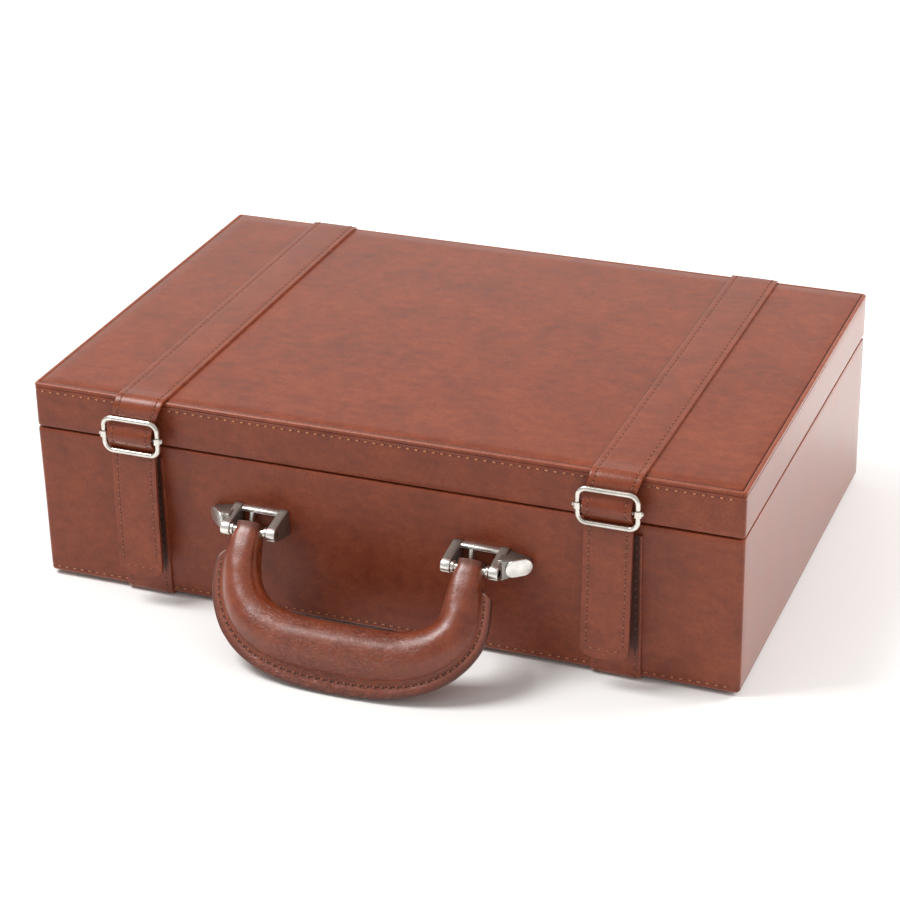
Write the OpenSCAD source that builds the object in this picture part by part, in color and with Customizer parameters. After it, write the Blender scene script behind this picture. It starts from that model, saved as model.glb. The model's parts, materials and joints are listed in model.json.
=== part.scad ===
// Poker chip case: a leather-wrapped box with a hinged lid, two buckled straps,
// a padded carrying handle and two chip trays inside.
// Millimetres, +Z up. The origin is the centre of the base's underside, and the case
// stands on the two base straps, one strap thickness below it. The handle is at the front, -Y.

/* [Case] */
// Width of the case, left to right
case_w = 380; // [360:1:420]
// Depth of the case, front to back
case_d = 250; // [248:1:270]
// Height of the base, from its underside to its rim
base_h = 85.5; // [84:0.5:90]
// Height of the lid, from its rim to its top
lid_h = 24.5; // [22:0.5:32]
// Closed gap between the rims of the base and the lid
rim_gap = 1; // [0.8:0.1:1.4]
// Radius of the upright and lower edges
edge_r = 2.5; // [1.5:0.5:4]

/* [Walls] */
// Thickness of the leather wrapped round the case
leather_t = 1.2; // [0.8:0.1:1.5]
// Thickness of the board walls
wall_t = 9.3; // [8:0.1:10]
// Thickness of the board under the base
floor_t = 6; // [5:0.5:7]
// Thickness of the board in the lid's top
lid_board_t = 5; // [4:0.5:6]
// Thickness of the cloth lining
lining_t = 1; // [0.6:0.1:1.2]
// Thickness of the pad inside the lid
pad_t = 3; // [2:0.5:4]

/* [Straps and buckles] */
// Distance of each strap's middle from the case's middle
strap_x = 127; // [115:1:140]
// Width of the straps
strap_w = 26; // [22:1:30]
// Thickness of the straps on the lid and the base
strap_t = 1.6; // [1.2:0.1:2]
// Width of a buckle's frame
buckle_w = 33; // [32:0.5:36]
// Height of a buckle's frame
buckle_h = 21; // [20:0.5:23]
// Radius of the buckle's wire
buckle_wire_r = 1.4; // [1.2:0.1:1.6]
// Height of the left buckle's middle above the base's underside
left_buckle_z = 93; // [92:0.1:96]
// Height of the right buckle's middle above the base's underside
right_buckle_z = 95.7; // [92:0.1:96]
// How far the left tail hangs to the side of its strap's middle
left_drift = -3.5; // [-4:0.1:4]
// How far the right tail hangs to the side of its strap's middle
right_drift = -2.5; // [-4:0.1:4]
// How far the left strap on the base sits to the side of the lid's
left_base_shift = -3; // [-4:0.5:4]
// Height of the strap tails' lower ends above the base's underside
tail_z = 15; // [10:1:30]
// Diameter of the closing magnets
magnet_d = 15; // [12:1:18]

/* [Handle] */
// Distance between the middles of the two handle brackets
handle_span = 119.4; // [112:0.1:130]
// How far the brackets' common middle lies to the side of the case's middle
handle_x = -2.7; // [-5:0.1:5]
// How far the grip leans back towards the case's middle
grip_lean = 2.7; // [-4:0.1:4]
// Height of the handle's pins above the base's underside
pin_z = 54.6; // [52:0.1:57]
// Distance of the handle's pins from the case's front
pin_out = 16; // [15:0.5:18]
// Distance from the pins to the middle of the grip
grip_drop = 51; // [48:1:54]
// Radius of the grip at its middle
grip_r = 12.5; // [11:0.5:13]

/* [Trays] */
// Diameter of a chip channel
channel_d = 41; // [40.5:0.5:42]
// Distance between the channels
channel_pitch = 43; // [42.5:0.5:43.5]
// Length of the chip channels
channel_l = 206; // [180:1:210]

/* [Hidden] */
$fn = 48;

// Colours
LEATHER = "sienna";
NICKEL = "silver";
BOARD = "burlywood";
CLOTH = "#2b2422";

// Levels and faces of the case
front_y = -case_d / 2;
back_y = case_d / 2;
parting_z = base_h + rim_gap / 2;
lid_rim_z = base_h + rim_gap;
top_z = lid_rim_z + lid_h;
rim_leather_t = 1;
inner_w = case_w - 2 * (leather_t + wall_t);
inner_d = case_d - 2 * (leather_t + wall_t);
floor_z = leather_t + floor_t;
ceiling_z = top_z - leather_t - lid_board_t;
pad_edge = 2;
pad_corner_r = 6;
eps = 0.01;
far = 500;

// Hinge along the back, in a groove whose bevels meet when the lid is fully open
hinge_inset = 3;
hinge_y = back_y - hinge_inset;
knuckle_r = 2;
knuckle_bore_r = 1.05;
hinge_pin_r = 1;
groove_r = 2.3;
bevel_angle = 51;
hinge_l = 350;
knuckle_count = 14;
knuckle_l = hinge_l / knuckle_count;
knuckle_play = 0.2;
leaf_t = 0.8;
leaf_face = 0.15;
leaf_root = knuckle_r + 0.35;
leaf_reach = 8.2;
leaf_screw_y = hinge_y - 5.3;
hinge_screw_count = 8;
hinge_screw_pitch = hinge_l / hinge_screw_count;
hinge_screw_r = 0.9;
hinge_screw_head_r = 1.7;
hinge_screw_l = 7;
leaf_rebate_play = 0.3;

// Straps
base_strap_top = 80;
base_strap_back_top = 74;
lid_strap_back_end = 95;
strap_let_in = 0.2;
fold_gap = 1.2;
fold_lift = 1.2;
fold_y = front_y + 0.4;
fold_z = top_z + fold_lift;
fold_r = 6;
fold_leather_t = 1.6;
tail_t = 2.4;
// below the buckle's window the tail thickens from the fold's leather to its own
thicken_gap = 0.6;
thicken_run = 4;
tail_corner_r = 6;

// Buckles: the frame stands off the case, and the leather passes behind its long wires
buckle_out = 8;
buckle_corner_r = 4.6;
bar_r = 1.1;
bar_eye_r = 2.3;
bar_eye_h = 3.2;
bar_l = 36.4;
knob_r = 1.4;
wire_play = 0.12;
window_half = 9.4;
tail_flare = 6.6;
behind_wire = buckle_out - buckle_wire_r - fold_leather_t / 2 - wire_play;
over_bar = bar_r + fold_leather_t / 2 + wire_play + buckle_out - behind_wire;
bend_out = front_y - fold_y + fold_r;

// Magnets, hidden between the tails and the base straps
magnet_z = 55;
magnet_t = 2.8;
magnet_gap = 0.4;

// Handle
pin_y = front_y - pin_out;
pin_r = 2;
eye_r = 2.05;
handle_half = handle_span / 2;
grip_curve = 3.2;
seam_w = 9.5;
seam_end_w = 5;
seam_half_t = 1.5;
handle_reach = grip_drop + grip_r + seam_w;
handle_tilt = acos((pin_z + strap_t) / norm([handle_reach, seam_half_t])) + atan(seam_half_t / handle_reach);
end_overrun = 4;
end_half_w = 6.4;
end_half_t = 6;
grip_bulge = 1.8;
core_half_t = 1.5;
core_half_w = 4.5;
core_play = 0.1;
cheek_x = 12.5;
cheek_half_w = 2.5;
boss_r = 3.6;
plate_z0 = pin_z - 8;
plate_z1 = pin_z + 6.5;
plate_t = 3;
window_bar_z = pin_z + 3.6;
window_bar_t = 3.5;
window_foot_h = 2.5;
window_bar_drop = 0.9;
wing_foot = 2;
wing_drop = 1;
cheek_slope = 0.6;
rib_x = -4.5;
rib_w = 2;
rib_out = 7;
wing_end = 26.5;
wing_rise = pin_out - 3.5;
wing_pad_l = 14.5;
wing_pad_w = 9.4;
wing_pad_t = 1.6;
outer_screw_x = 19;
bracket_screw_r = 2;
screw_nut_r = 3.2;
screw_nut_t = 2;
bracket_screw_z = pin_z - 1.5;
backing_t = 1.5;
backing_l = 46;
backing_h = 14;
backing_corner_r = 3;
backing_y = front_y + leather_t + wall_t - 3.5;

// Trays
tray_play = 0.5;
lift_play = 1.8;
tray_wall_t = 3;
lower_z0 = floor_z + lining_t;
lower_deck_z = lower_z0 + 2.5 + channel_d / 2;
lower_top_z = 53;
upper_z0 = lower_top_z + 0.1;
upper_deck_z = upper_z0 + 2 + channel_d / 2;
upper_top_z = 84.5;
channel_count = 5;
channel_x0 = -172;
well_depth = 19;
// Each well in a tray, as [middle x, middle y, length, width]: three for cards, one for dice
WELLS = [[91, -71, 94, 66], [91, 0, 94, 66], [91, 71, 94, 66], [157, 0, 26, 208]];

// ---------- Shared shapes ----------

// Extrudes a (y, z) outline along X, half to each side
module along_x(w)
    rotate([90, 0, 90])
        linear_extrude(w, center = true)
            children();

// Extrudes an (x, z) outline from the plane y = 0 to y = d
module along_y(d)
    translate([0, d, 0])
        rotate([90, 0, 0])
            linear_extrude(d)
                children();

// Extrudes an (x, z) outline along Y, half to each side
module along_y_centred()
    translate([0, -far / 2, 0])
        along_y(far)
            children();

// A rectangle with round corners, centred on the origin
module round_rect(w, h, r) {
    square([w - 2 * r, h], center = true);
    square([w, h - 2 * r], center = true);
    for (sx = [-1, 1], sy = [-1, 1])
        translate([sx * (w / 2 - r), sy * (h / 2 - r)])
            circle(r);
}

// A rectangle with half-round ends
module slot_shape(l, h) {
    square([l - h, h], center = true);
    for (s = [-1, 1])
        translate([s * (l - h) / 2, 0])
            circle(h / 2);
}

// An upright block with round upright edges
module block(w, d, z0, z1, r)
    translate([0, 0, z0])
        linear_extrude(z1 - z0)
            round_rect(w, d, r);

// A square-edged block
module box_between(w, d, z0, z1)
    translate([-w / 2, -d / 2, z0])
        cube([w, d, z1 - z0]);

// The outline of the whole case from the side, grown by a thickness, with round edges
module side_outline(grow) {
    h = top_z + 2 * grow;
    translate([0, top_z / 2])
        round_rect(case_d + 2 * grow, h, edge_r + grow);
}

// The outside of the case between two levels, with all its edges rounded
module case_body(z0, z1) {
    intersection() {
        block(case_w, case_d, z0, z1, edge_r);
        along_x(case_w + 1)
            side_outline(0);
        along_y_centred()
            translate([0, top_z / 2])
                round_rect(case_w, top_z, edge_r);
    }
}

// The groove for the hinge, grown by the thickness of the leather that lines it
module hinge_groove(grow) {
    reach = 12;
    rise = reach * tan(bevel_angle);
    shift = grow / cos(bevel_angle);
    along_x(case_w + 2)
        translate([hinge_y, parting_z])
            polygon([
                [0, shift], [0, -shift],
                [reach, -rise - shift], [reach, rise + shift]
            ]);
    translate([0, hinge_y, parting_z])
        rotate([0, 90, 0])
            cylinder(h = case_w + 2, r = groove_r + grow, center = true);
}

// Places a child at every hinge screw
module at_hinge_screws()
    for (i = [0 : hinge_screw_count - 1])
        translate([(i - (hinge_screw_count - 1) / 2) * hinge_screw_pitch, leaf_screw_y, parting_z])
            children();

// A countersunk screw, pointing down from the hinge's middle plane
module leaf_screw() {
    translate([0, 0, -leaf_face - leaf_t])
        cylinder(h = leaf_t, r1 = hinge_screw_r, r2 = hinge_screw_head_r);
    translate([0, 0, -leaf_face - leaf_t - hinge_screw_l])
        cylinder(h = hinge_screw_l + eps, r = hinge_screw_r);
}

// The rebate that one leaf lies in
module leaf_rebate()
    translate([
        -hinge_l / 2 - leaf_rebate_play, hinge_y - leaf_reach - leaf_rebate_play,
        parting_z - leaf_face - leaf_t
    ])
        cube([hinge_l + 2 * leaf_rebate_play, leaf_reach + leaf_rebate_play, leaf_face + leaf_t]);

// Turns a shape below the parting plane over to the lid's side
module to_lid()
    translate([0, 0, 2 * parting_z])
        mirror([0, 0, 1])
            children();

// ---------- Base ----------

// The board box under the leather
module base_board() {
    difference() {
        box_between(case_w - 2 * leather_t, case_d - 2 * leather_t, leather_t, base_h - rim_leather_t);
        box_between(inner_w, inner_d, floor_z, far);
        hinge_groove(rim_leather_t);
    }
}

// Holes in the front wall for the brackets' screws
module bracket_screw_holes(y0, y1)
    for (s = [-1, 1], dx = [-cheek_x, outer_screw_x])
        translate([handle_x + s * (handle_half + dx), y0, bracket_screw_z])
            rotate([-90, 0, 0])
                cylinder(h = y1 - y0, r = bracket_screw_r);

// The two steel plates inside the front wall, one behind each bracket
module backing_outline()
    for (s = [-1, 1])
        translate([handle_x + s * (handle_half + (outer_screw_x - cheek_x) / 2), bracket_screw_z])
            round_rect(backing_l, backing_h, backing_corner_r);

module base_core()
    color(BOARD)
        difference() {
            base_board();
            bracket_screw_holes(front_y, backing_y + 1);
            translate([0, backing_y, 0])
                along_y(10)
                    backing_outline();
            at_hinge_screws()
                leaf_screw();
        }

module base_cover()
    color(LEATHER)
        difference() {
            case_body(0, base_h);
            base_board();
            box_between(inner_w, inner_d, floor_z, far);
            hinge_groove(0);
            leaf_rebate();
            bracket_screw_holes(front_y - 1, backing_y);
            at_hinge_screws()
                leaf_screw();
            for (side = [-1, 1])
                base_strap_body(side);
        }

module base_lining()
    color(CLOTH)
        difference() {
            box_between(inner_w, inner_d, floor_z, base_h - 0.5);
            box_between(inner_w - 2 * lining_t, inner_d - 2 * lining_t, floor_z + lining_t, far);
            leaf_rebate();
        }

function base_strap_x(side) = side * strap_x + (side < 0 ? left_base_shift : 0);

// A strap from the front, under the case and up its back, let into the leather a little
module base_strap_body(side)
    translate([base_strap_x(side), 0, 0])
        along_x(strap_w)
            difference() {
                side_outline(strap_t);
                side_outline(-strap_let_in);
                translate([-far, base_strap_top])
                    square([far, far]);
                translate([0, base_strap_back_top])
                    square([far, far]);
            }

module base_strap(side)
    color(LEATHER)
        base_strap_body(side);

// Where a tail and its buckle sit along X
function tail_x(side) = side * strap_x + (side < 0 ? left_drift : right_drift);

module base_magnet(side)
    color(NICKEL)
        translate([tail_x(side), front_y - strap_t, magnet_z])
            rotate([90, 0, 0])
                cylinder(h = magnet_t, d = magnet_d);

// One cheek of a bracket, seen from its side: a tapered arm that ends in the boss round the pin
module cheek_outline() {
    translate([pin_y, pin_z])
        circle(boss_r);
    polygon([
        [front_y, plate_z0], [front_y, plate_z1],
        [front_y - plate_t, plate_z1 - cheek_slope], [pin_y - cheek_slope, pin_z + boss_r * 0.98],
        [pin_y - 1.2, pin_z - boss_r * 0.93], [front_y - 6, plate_z0 + 1.5]
    ]);
}

// The wing from above: it falls from the outer cheek to the plate's end
module wing_outline()
    polygon([
        [cheek_x, front_y], [wing_end, front_y], [wing_end, front_y - plate_t],
        [cheek_x + cheek_half_w, front_y - wing_rise], [cheek_x, front_y - wing_rise]
    ]);

// A raised pad on the wing's sloping face
module wing_pad() {
    slope = atan((wing_rise - plate_t) / (wing_end - cheek_x - cheek_half_w));
    sink = 0.4;
    overhang = 1;
    translate([wing_end, front_y - plate_t, pin_z])
        rotate([0, 0, slope])
            translate([overhang - wing_pad_l / 2, sink, 0])
                rotate([90, 0, 0])
                    linear_extrude(wing_pad_t)
                        slot_shape(wing_pad_l, wing_pad_w);
}

// A cast bracket: two cheeks, bars over and under a window, a rib in it, and a wing
// towards the case's side
module handle_bracket(side) {
    color(NICKEL)
        difference() {
            union() {
                translate([handle_x + side * handle_half, 0, 0])
                    mirror([side < 0 ? 1 : 0, 0, 0]) {
                        for (s = [-1, 1])
                            translate([s * cheek_x, 0, 0])
                                along_x(2 * cheek_half_w)
                                    cheek_outline();
                        translate([-cheek_x, front_y - window_bar_t, window_bar_z])
                            cube([2 * cheek_x, window_bar_t, plate_z1 - window_bar_drop - window_bar_z]);
                        translate([-cheek_x, front_y - plate_t, plate_z0])
                            cube([2 * cheek_x, plate_t, window_foot_h]);
                        translate([0, 0, plate_z0 + wing_foot])
                            linear_extrude(plate_z1 - wing_drop - plate_z0 - wing_foot)
                                wing_outline();
                        wing_pad();
                    }
                // rib down the window, deeper towards its foot
                translate([handle_x + side * handle_half + rib_x, 0, 0])
                    along_x(rib_w)
                        polygon([
                            [front_y, plate_z0], [front_y, window_bar_z + eps],
                            [front_y - window_bar_t, window_bar_z + eps], [front_y - rib_out, plate_z0]
                        ]);
            }
            translate([0, pin_y, pin_z])
                rotate([0, 90, 0])
                    cylinder(h = case_w, r = pin_r, center = true);
            bracket_screw_holes(front_y - 5, front_y + 1);
        }
}

module bracket_screws()
    color("dimgray")
        intersection() {
            union() {
                bracket_screw_holes(front_y - 5, backing_y + backing_t);
                for (s = [-1, 1], dx = [-cheek_x, outer_screw_x])
                    translate([handle_x + s * (handle_half + dx), backing_y + backing_t, bracket_screw_z])
                        rotate([-90, 0, 0])
                            cylinder(h = screw_nut_t, r = screw_nut_r);
            }
            box_between(case_w, case_d + 20, 0, base_h);
        }

module backing_plates()
    color("gray")
        difference() {
            translate([0, backing_y, 0])
                along_y(backing_t)
                    backing_outline();
            bracket_screw_holes(backing_y - 1, backing_y + backing_t + 1);
        }

module handle_pin(side)
    color(NICKEL)
        translate([handle_x + side * handle_half, pin_y, pin_z])
            rotate([0, 90, 0])
                cylinder(h = 2 * (cheek_x + cheek_half_w), r = pin_r, center = true);

// A padded tray: half-round channels for the chips, wells for cards and dice, and a rim
module tray(w, d, z0, deck_z, rim_z) {
    difference() {
        block(w, d, z0, rim_z, 3);
        block(w - 2 * tray_wall_t, d - 2 * tray_wall_t, deck_z, far, 2);
        for (i = [0 : channel_count - 1])
            translate([channel_x0, (i - (channel_count - 1) / 2) * channel_pitch, deck_z])
                rotate([0, 90, 0])
                    cylinder(h = channel_l, d = channel_d);
        for (well = WELLS)
            translate([well[0], well[1], 0])
                block(well[2], well[3], deck_z - well_depth, far, 4);
    }
}

module lower_tray()
    color(CLOTH)
        tray(
            inner_w - 2 * (lining_t + tray_play), inner_d - 2 * (lining_t + tray_play),
            lower_z0, lower_deck_z, lower_top_z
        );

// ---------- Hinge ----------

// A leaf with every second knuckle, lying just below the hinge's middle plane
module hinge_leaf(first) {
    difference() {
        union() {
            translate([-hinge_l / 2, hinge_y - leaf_reach, parting_z - leaf_face - leaf_t])
                cube([hinge_l, leaf_reach - leaf_root, leaf_t]);
            for (i = [first : 2 : knuckle_count - 1])
                translate([(i - knuckle_count / 2) * knuckle_l + knuckle_play / 2, hinge_y, parting_z]) {
                    rotate([0, 90, 0])
                        cylinder(h = knuckle_l - knuckle_play, r = knuckle_r);
                    translate([0, -leaf_root - eps, -leaf_face - leaf_t])
                        cube([knuckle_l - knuckle_play, leaf_root, leaf_t]);
                }
        }
        translate([0, hinge_y, parting_z])
            rotate([0, 90, 0])
                cylinder(h = case_w, r = knuckle_bore_r, center = true);
        at_hinge_screws()
            leaf_screw();
    }
}

module hinge_leaf_base()
    color(NICKEL)
        hinge_leaf(0);

module hinge_pin()
    color(NICKEL)
        translate([0, hinge_y, parting_z])
            rotate([0, 90, 0])
                cylinder(h = hinge_l, r = hinge_pin_r, center = true);

module hinge_screws_base()
    color(NICKEL)
        at_hinge_screws()
            leaf_screw();

module hinge_leaf_lid()
    color(NICKEL)
        to_lid()
            hinge_leaf(1);

module hinge_screws_lid()
    color(NICKEL)
        to_lid()
            at_hinge_screws()
                leaf_screw();

// ---------- Lid ----------

// The board tray under the lid's leather
module lid_board()
    difference() {
        box_between(
            case_w - 2 * leather_t, case_d - 2 * leather_t,
            lid_rim_z + rim_leather_t, top_z - leather_t
        );
        box_between(inner_w, inner_d, 0, ceiling_z);
        hinge_groove(rim_leather_t);
    }

module lid_core()
    color(BOARD)
        difference() {
            lid_board();
            to_lid()
                at_hinge_screws()
                    leaf_screw();
        }

// The leather sheet glued on the lid's top
module lid_top_cover()
    color(LEATHER)
        difference() {
            intersection() {
                case_body(0, top_z);
                box_between(case_w, case_d, top_z - leather_t, top_z);
            }
            for (side = [-1, 1])
                lid_strap_body(side);
        }

// The leather round the lid's four sides, turned in over its rim
module lid_side_cover()
    color(LEATHER)
        difference() {
            case_body(lid_rim_z, top_z - leather_t);
            lid_board();
            box_between(inner_w, inner_d, 0, ceiling_z);
            hinge_groove(0);
            to_lid() {
                leaf_rebate();
                at_hinge_screws()
                    leaf_screw();
            }
            for (side = [-1, 1])
                lid_strap_body(side);
        }

module lid_lining()
    color(CLOTH)
        difference() {
            box_between(inner_w, inner_d, lid_rim_z + 0.5, ceiling_z);
            box_between(inner_w - 2 * lining_t, inner_d - 2 * lining_t, 0, ceiling_z - lining_t);
            to_lid()
                leaf_rebate();
        }

module lid_pad()
    color("#3a2f2c")
        block(
            inner_w - 2 * (lining_t + pad_edge), inner_d - 2 * (lining_t + pad_edge),
            ceiling_z - lining_t - pad_t, ceiling_z - lining_t, pad_corner_r
        );

// A strap over the lid, from the fold at its front edge to the lid's back
module lid_strap_body(side)
    translate([side * strap_x, 0, 0])
        along_x(strap_w)
            difference() {
                side_outline(strap_t);
                side_outline(-strap_let_in);
                translate([-far, -far])
                    square([far + fold_y + fold_gap, 2 * far]);
                translate([-far, -far])
                    square([2 * far, far + lid_strap_back_end]);
            }

module lid_strap(side)
    color(LEATHER)
        lid_strap_body(side);

// ---------- Strap tails and buckles ----------

// Height of a buckle's middle
function buckle_level(side) = side < 0 ? left_buckle_z : right_buckle_z;

// Distance of a tail's middle line from the case's front at a height: behind the buckle's
// upper wire, out over its bar, behind its lower wire, and slowly outwards below it
function tail_out(z, side) =
    let(
        low = buckle_level(side) - window_half,
        high = buckle_level(side) + window_half
    )
    z > high ? behind_wire :
    z > low ? behind_wire + over_bar * pow((1 - cos(360 * (z - low) / (high - low))) / 2, 1.2) :
    behind_wire + tail_flare * (low - z) / (low - tail_z);

// Joins the end of the bend to the stretch behind the buckle's upper wire
function blend_out(z, side) =
    let(
        bend_z = fold_z - fold_r,
        high = buckle_level(side) + window_half,
        share = min(1, max(0, (bend_z - z) / (bend_z - high)))
    )
    bend_out * (1 - share) + tail_out(z, side) * share;

// Half the thickness of a tail at a height: two layers sewn together below the buckle
function tail_half_t(z, side) =
    let(share = (buckle_level(side) - window_half - thicken_gap - z) / thicken_run)
    (fold_leather_t + (tail_t - fold_leather_t) * min(1, max(0, share))) / 2;

// The tail from its side: a barrel on the fold line, a quarter bend, and the stretch down
module tail_outline(side) {
    steps = 48;
    bend_z = fold_z - fold_r;
    levels = [for (i = [0 : steps]) bend_z + (tail_z - bend_z) * i / steps];
    function edge(z, way) = [front_y - blend_out(z, side) + way * tail_half_t(z, side), z];
    translate([fold_y, fold_z])
        circle(fold_leather_t / 2);
    difference() {
        translate([fold_y, bend_z])
            circle(fold_r + fold_leather_t / 2);
        translate([fold_y, bend_z])
            circle(fold_r - fold_leather_t / 2);
        translate([fold_y, bend_z - far / 2])
            square([far, far]);
        translate([fold_y - far / 2, bend_z - far])
            square([far, far]);
    }
    polygon(concat(
        [for (z = levels) edge(z, -1)],
        [for (i = [steps : -1 : 0]) edge(levels[i], 1)]
    ));
}

module strap_tail(side) {
    tail_w = strap_w - 1;
    // the outline that rounds the lower corners reaches past the fold
    over_fold = 20;
    outline_h = top_z + over_fold - tail_z;
    color(LEATHER)
        translate([tail_x(side), 0, 0])
            difference() {
                intersection() {
                    along_x(tail_w)
                        tail_outline(side);
                    translate([0, -far / 2, tail_z + outline_h / 2])
                        along_y(far / 2)
                            round_rect(tail_w, outline_h, tail_corner_r);
                }
                tail_magnet_body(side);
            }
}

// The tail's magnet reaches from its flat face back into the sloping leather
module tail_magnet_body(side) {
    face_y = front_y - strap_t - magnet_t - magnet_gap;
    root_y = front_y - tail_out(magnet_z, side);
    translate([0, face_y, magnet_z])
        rotate([90, 0, 0])
            cylinder(h = face_y - root_y, d = magnet_d);
}

module tail_magnet(side)
    color(NICKEL)
        translate([tail_x(side), 0, 0])
            tail_magnet_body(side);

// A rectangular ring of round wire
module buckle_frame(side) {
    x = buckle_w / 2 - buckle_wire_r;
    z = buckle_h / 2 - buckle_wire_r;
    r = buckle_corner_r;
    color(NICKEL)
        translate([tail_x(side), front_y - buckle_out, buckle_level(side)]) {
            for (s = [-1, 1]) {
                translate([0, 0, s * z])
                    rotate([0, 90, 0])
                        cylinder(h = 2 * (x - r), r = buckle_wire_r, center = true);
                translate([s * x, 0, 0])
                    cylinder(h = 2 * (z - r), r = buckle_wire_r, center = true);
            }
            for (turn = [0 : 3])
                corner_of_wire(turn, x - r, z - r, r);
        }
}

// One quarter bend of the buckle's wire
module corner_of_wire(turn, x, z, r) {
    sx = turn == 0 || turn == 3 ? 1 : -1;
    sz = turn < 2 ? 1 : -1;
    translate([sx * x, 0, sz * z])
        rotate([90, 0, 0])
            rotate([0, 0, 90 * turn])
                rotate_extrude(angle = 90)
                    translate([r, 0])
                        circle(buckle_wire_r, $fn = 32);
}

// The buckle's middle bar, with an eye round each side wire and a small knob outside it
module buckle_bar(side) {
    x = buckle_w / 2 - buckle_wire_r;
    color(NICKEL)
        translate([tail_x(side), front_y - buckle_out, buckle_level(side)])
            difference() {
                union() {
                    rotate([0, 90, 0])
                        cylinder(h = bar_l - 2, r = bar_r, center = true);
                    for (s = [-1, 1]) {
                        translate([s * x, 0, 0])
                            cylinder(h = bar_eye_h, r = bar_eye_r, center = true);
                        translate([s * (bar_l / 2 - knob_r), 0, 0])
                            sphere(r = knob_r);
                    }
                }
                for (s = [-1, 1])
                    translate([s * x, 0, 0])
                        cylinder(h = 2 * bar_eye_h, r = buckle_wire_r + 0.05, center = true);
            }
}

// ---------- Handle ----------

// The handle is drawn hanging straight down from its pins, and then tilted out to the table
module hung_handle()
    translate([0, pin_y, pin_z])
        rotate([-handle_tilt, 0, 0])
            children();

// The grip's middle line, from 0 at a pin to 1 at the middle: a squared-off ellipse that
// leans towards the case's middle and bulges a little past its pins
function grip_ease(q) =
    let(t = min(1, max(0, q / 0.4)))
    t * t * (3 - 2 * t);
function grip_point(q, side) =
    q < 0 ? [handle_x + side * handle_half, -end_overrun] :
    [
        handle_x + grip_lean * grip_ease(q)
            + side * (handle_half + grip_bulge * grip_ease(q)) * pow(cos(90 * q), 2 / grip_curve),
        grip_drop * pow(sin(90 * q), 2 / grip_curve)
    ];

function grip_swell(q) = pow(max(0, q), 0.4);
function grip_half_w(q) = end_half_w + (grip_r - end_half_w) * grip_swell(q);
function grip_half_t(q) = end_half_t + (grip_r - 0.5 - end_half_t) * grip_swell(q);
function seam_out(q) = (seam_end_w + (seam_w - seam_end_w) * q) * min(1, max(0, (q - 0.045) / 0.04));

// Stations along one half of the grip, closer together near the pins
half_steps = 22;
function station(i) = i == 0 ? -1 : pow((i - 1) / half_steps, 1.6);
function stations() = concat(
    [for (i = [0 : half_steps + 1]) [station(i), -1]],
    [for (i = [half_steps : -1 : 0]) [station(i), 1]]
);

// The grip's section: a round with a flat seam on its outer side, as [outward, sideways]
function grip_section(q) =
    let(
        a = grip_half_w(q),
        b = grip_half_t(q),
        root = asin(min(1, seam_half_t / b))
    )
    concat(
        [[a * cos(root) + seam_out(q), -seam_half_t], [a * cos(root) + seam_out(q), seam_half_t]],
        [for (k = [0 : 20])
            let(t = root + (360 - 2 * root) * k / 20)
            [a * cos(t), b * sin(t)]]
    );

// The middle line as one list of points, and its outward directions
GRIP_LINE = [for (s = stations()) grip_point(s[0], s[1])];
function line_dir(i) =
    let(
        a = GRIP_LINE[max(0, i - 1)],
        b = GRIP_LINE[min(len(GRIP_LINE) - 1, i + 1)]
    )
    (b - a) / norm(b - a);
function outward(i) =
    let(d = line_dir(i))
    [-d[1], d[0]];

// Joins equal rings of points into a closed solid
module skin(rings) {
    n = len(rings[0]);
    m = len(rings);
    points = [for (ring = rings) each ring];
    sides = [for (j = [0 : m - 2], k = [0 : n - 1])
        [j * n + k, j * n + (k + 1) % n, (j + 1) * n + (k + 1) % n, (j + 1) * n + k]];
    first = [for (k = [n - 1 : -1 : 0]) k];
    last = [for (k = [0 : n - 1]) (m - 1) * n + k];
    polyhedron(points, concat([first], sides, [last]), convexity = 6);
}

module handle_cover() {
    line = stations();
    rings = [for (i = [0 : len(line) - 1])
        let(o = outward(i), p = GRIP_LINE[i])
        [for (s = grip_section(line[i][0]))
            [p[0] + o[0] * s[0], s[1], -(p[1] + o[1] * s[0])]]];
    color(LEATHER)
        hung_handle()
            difference() {
                skin(rings);
                core_band(core_half_t + core_play, core_half_w + core_play, end_overrun + 1);
                rotate([0, 90, 0])
                    cylinder(h = case_w, r = pin_r + 0.4, center = true);
            }
}

// A flat steel band that follows the grip's middle line
module core_band(half_t, half_w, overrun) {
    count = len(GRIP_LINE);
    line = [for (i = [0 : count - 1])
        i == 0 || i == count - 1 ? [GRIP_LINE[i][0], -overrun] : GRIP_LINE[i]];
    rotate([-90, 0, 0])
        linear_extrude(2 * half_w, center = true)
            polygon(concat(
                [for (i = [0 : count - 1]) line[i] + outward(i) * half_t],
                [for (i = [count - 1 : -1 : 0]) line[i] - outward(i) * half_t]
            ));
}

module handle_core()
    color("gray")
        hung_handle()
            difference() {
                core_band(core_half_t, core_half_w, end_overrun - 1);
                rotate([0, 90, 0])
                    cylinder(h = case_w, r = eye_r, center = true);
            }

// Spacers on the pins, between the handle's ends and the brackets' cheeks
module handle_washers() {
    play = 0.3;
    thickness = 1.2;
    washer_r = 3;
    color(NICKEL)
        translate([0, pin_y, pin_z])
            for (s = [-1, 1], t = [-1, 1])
                translate([handle_x + s * handle_half + t * (cheek_x - cheek_half_w - play - thickness / 2), 0, 0])
                    rotate([0, 90, 0])
                        difference() {
                            cylinder(h = thickness, r = washer_r, center = true);
                            cylinder(h = 2 * thickness, r = eye_r, center = true);
                        }
}

// ---------- Lift-out tray ----------

module upper_tray()
    color(CLOTH)
        tray(
            inner_w - 2 * (lining_t + lift_play), inner_d - 2 * (lining_t + lift_play),
            upper_z0, upper_deck_z, upper_top_z
        );

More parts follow.
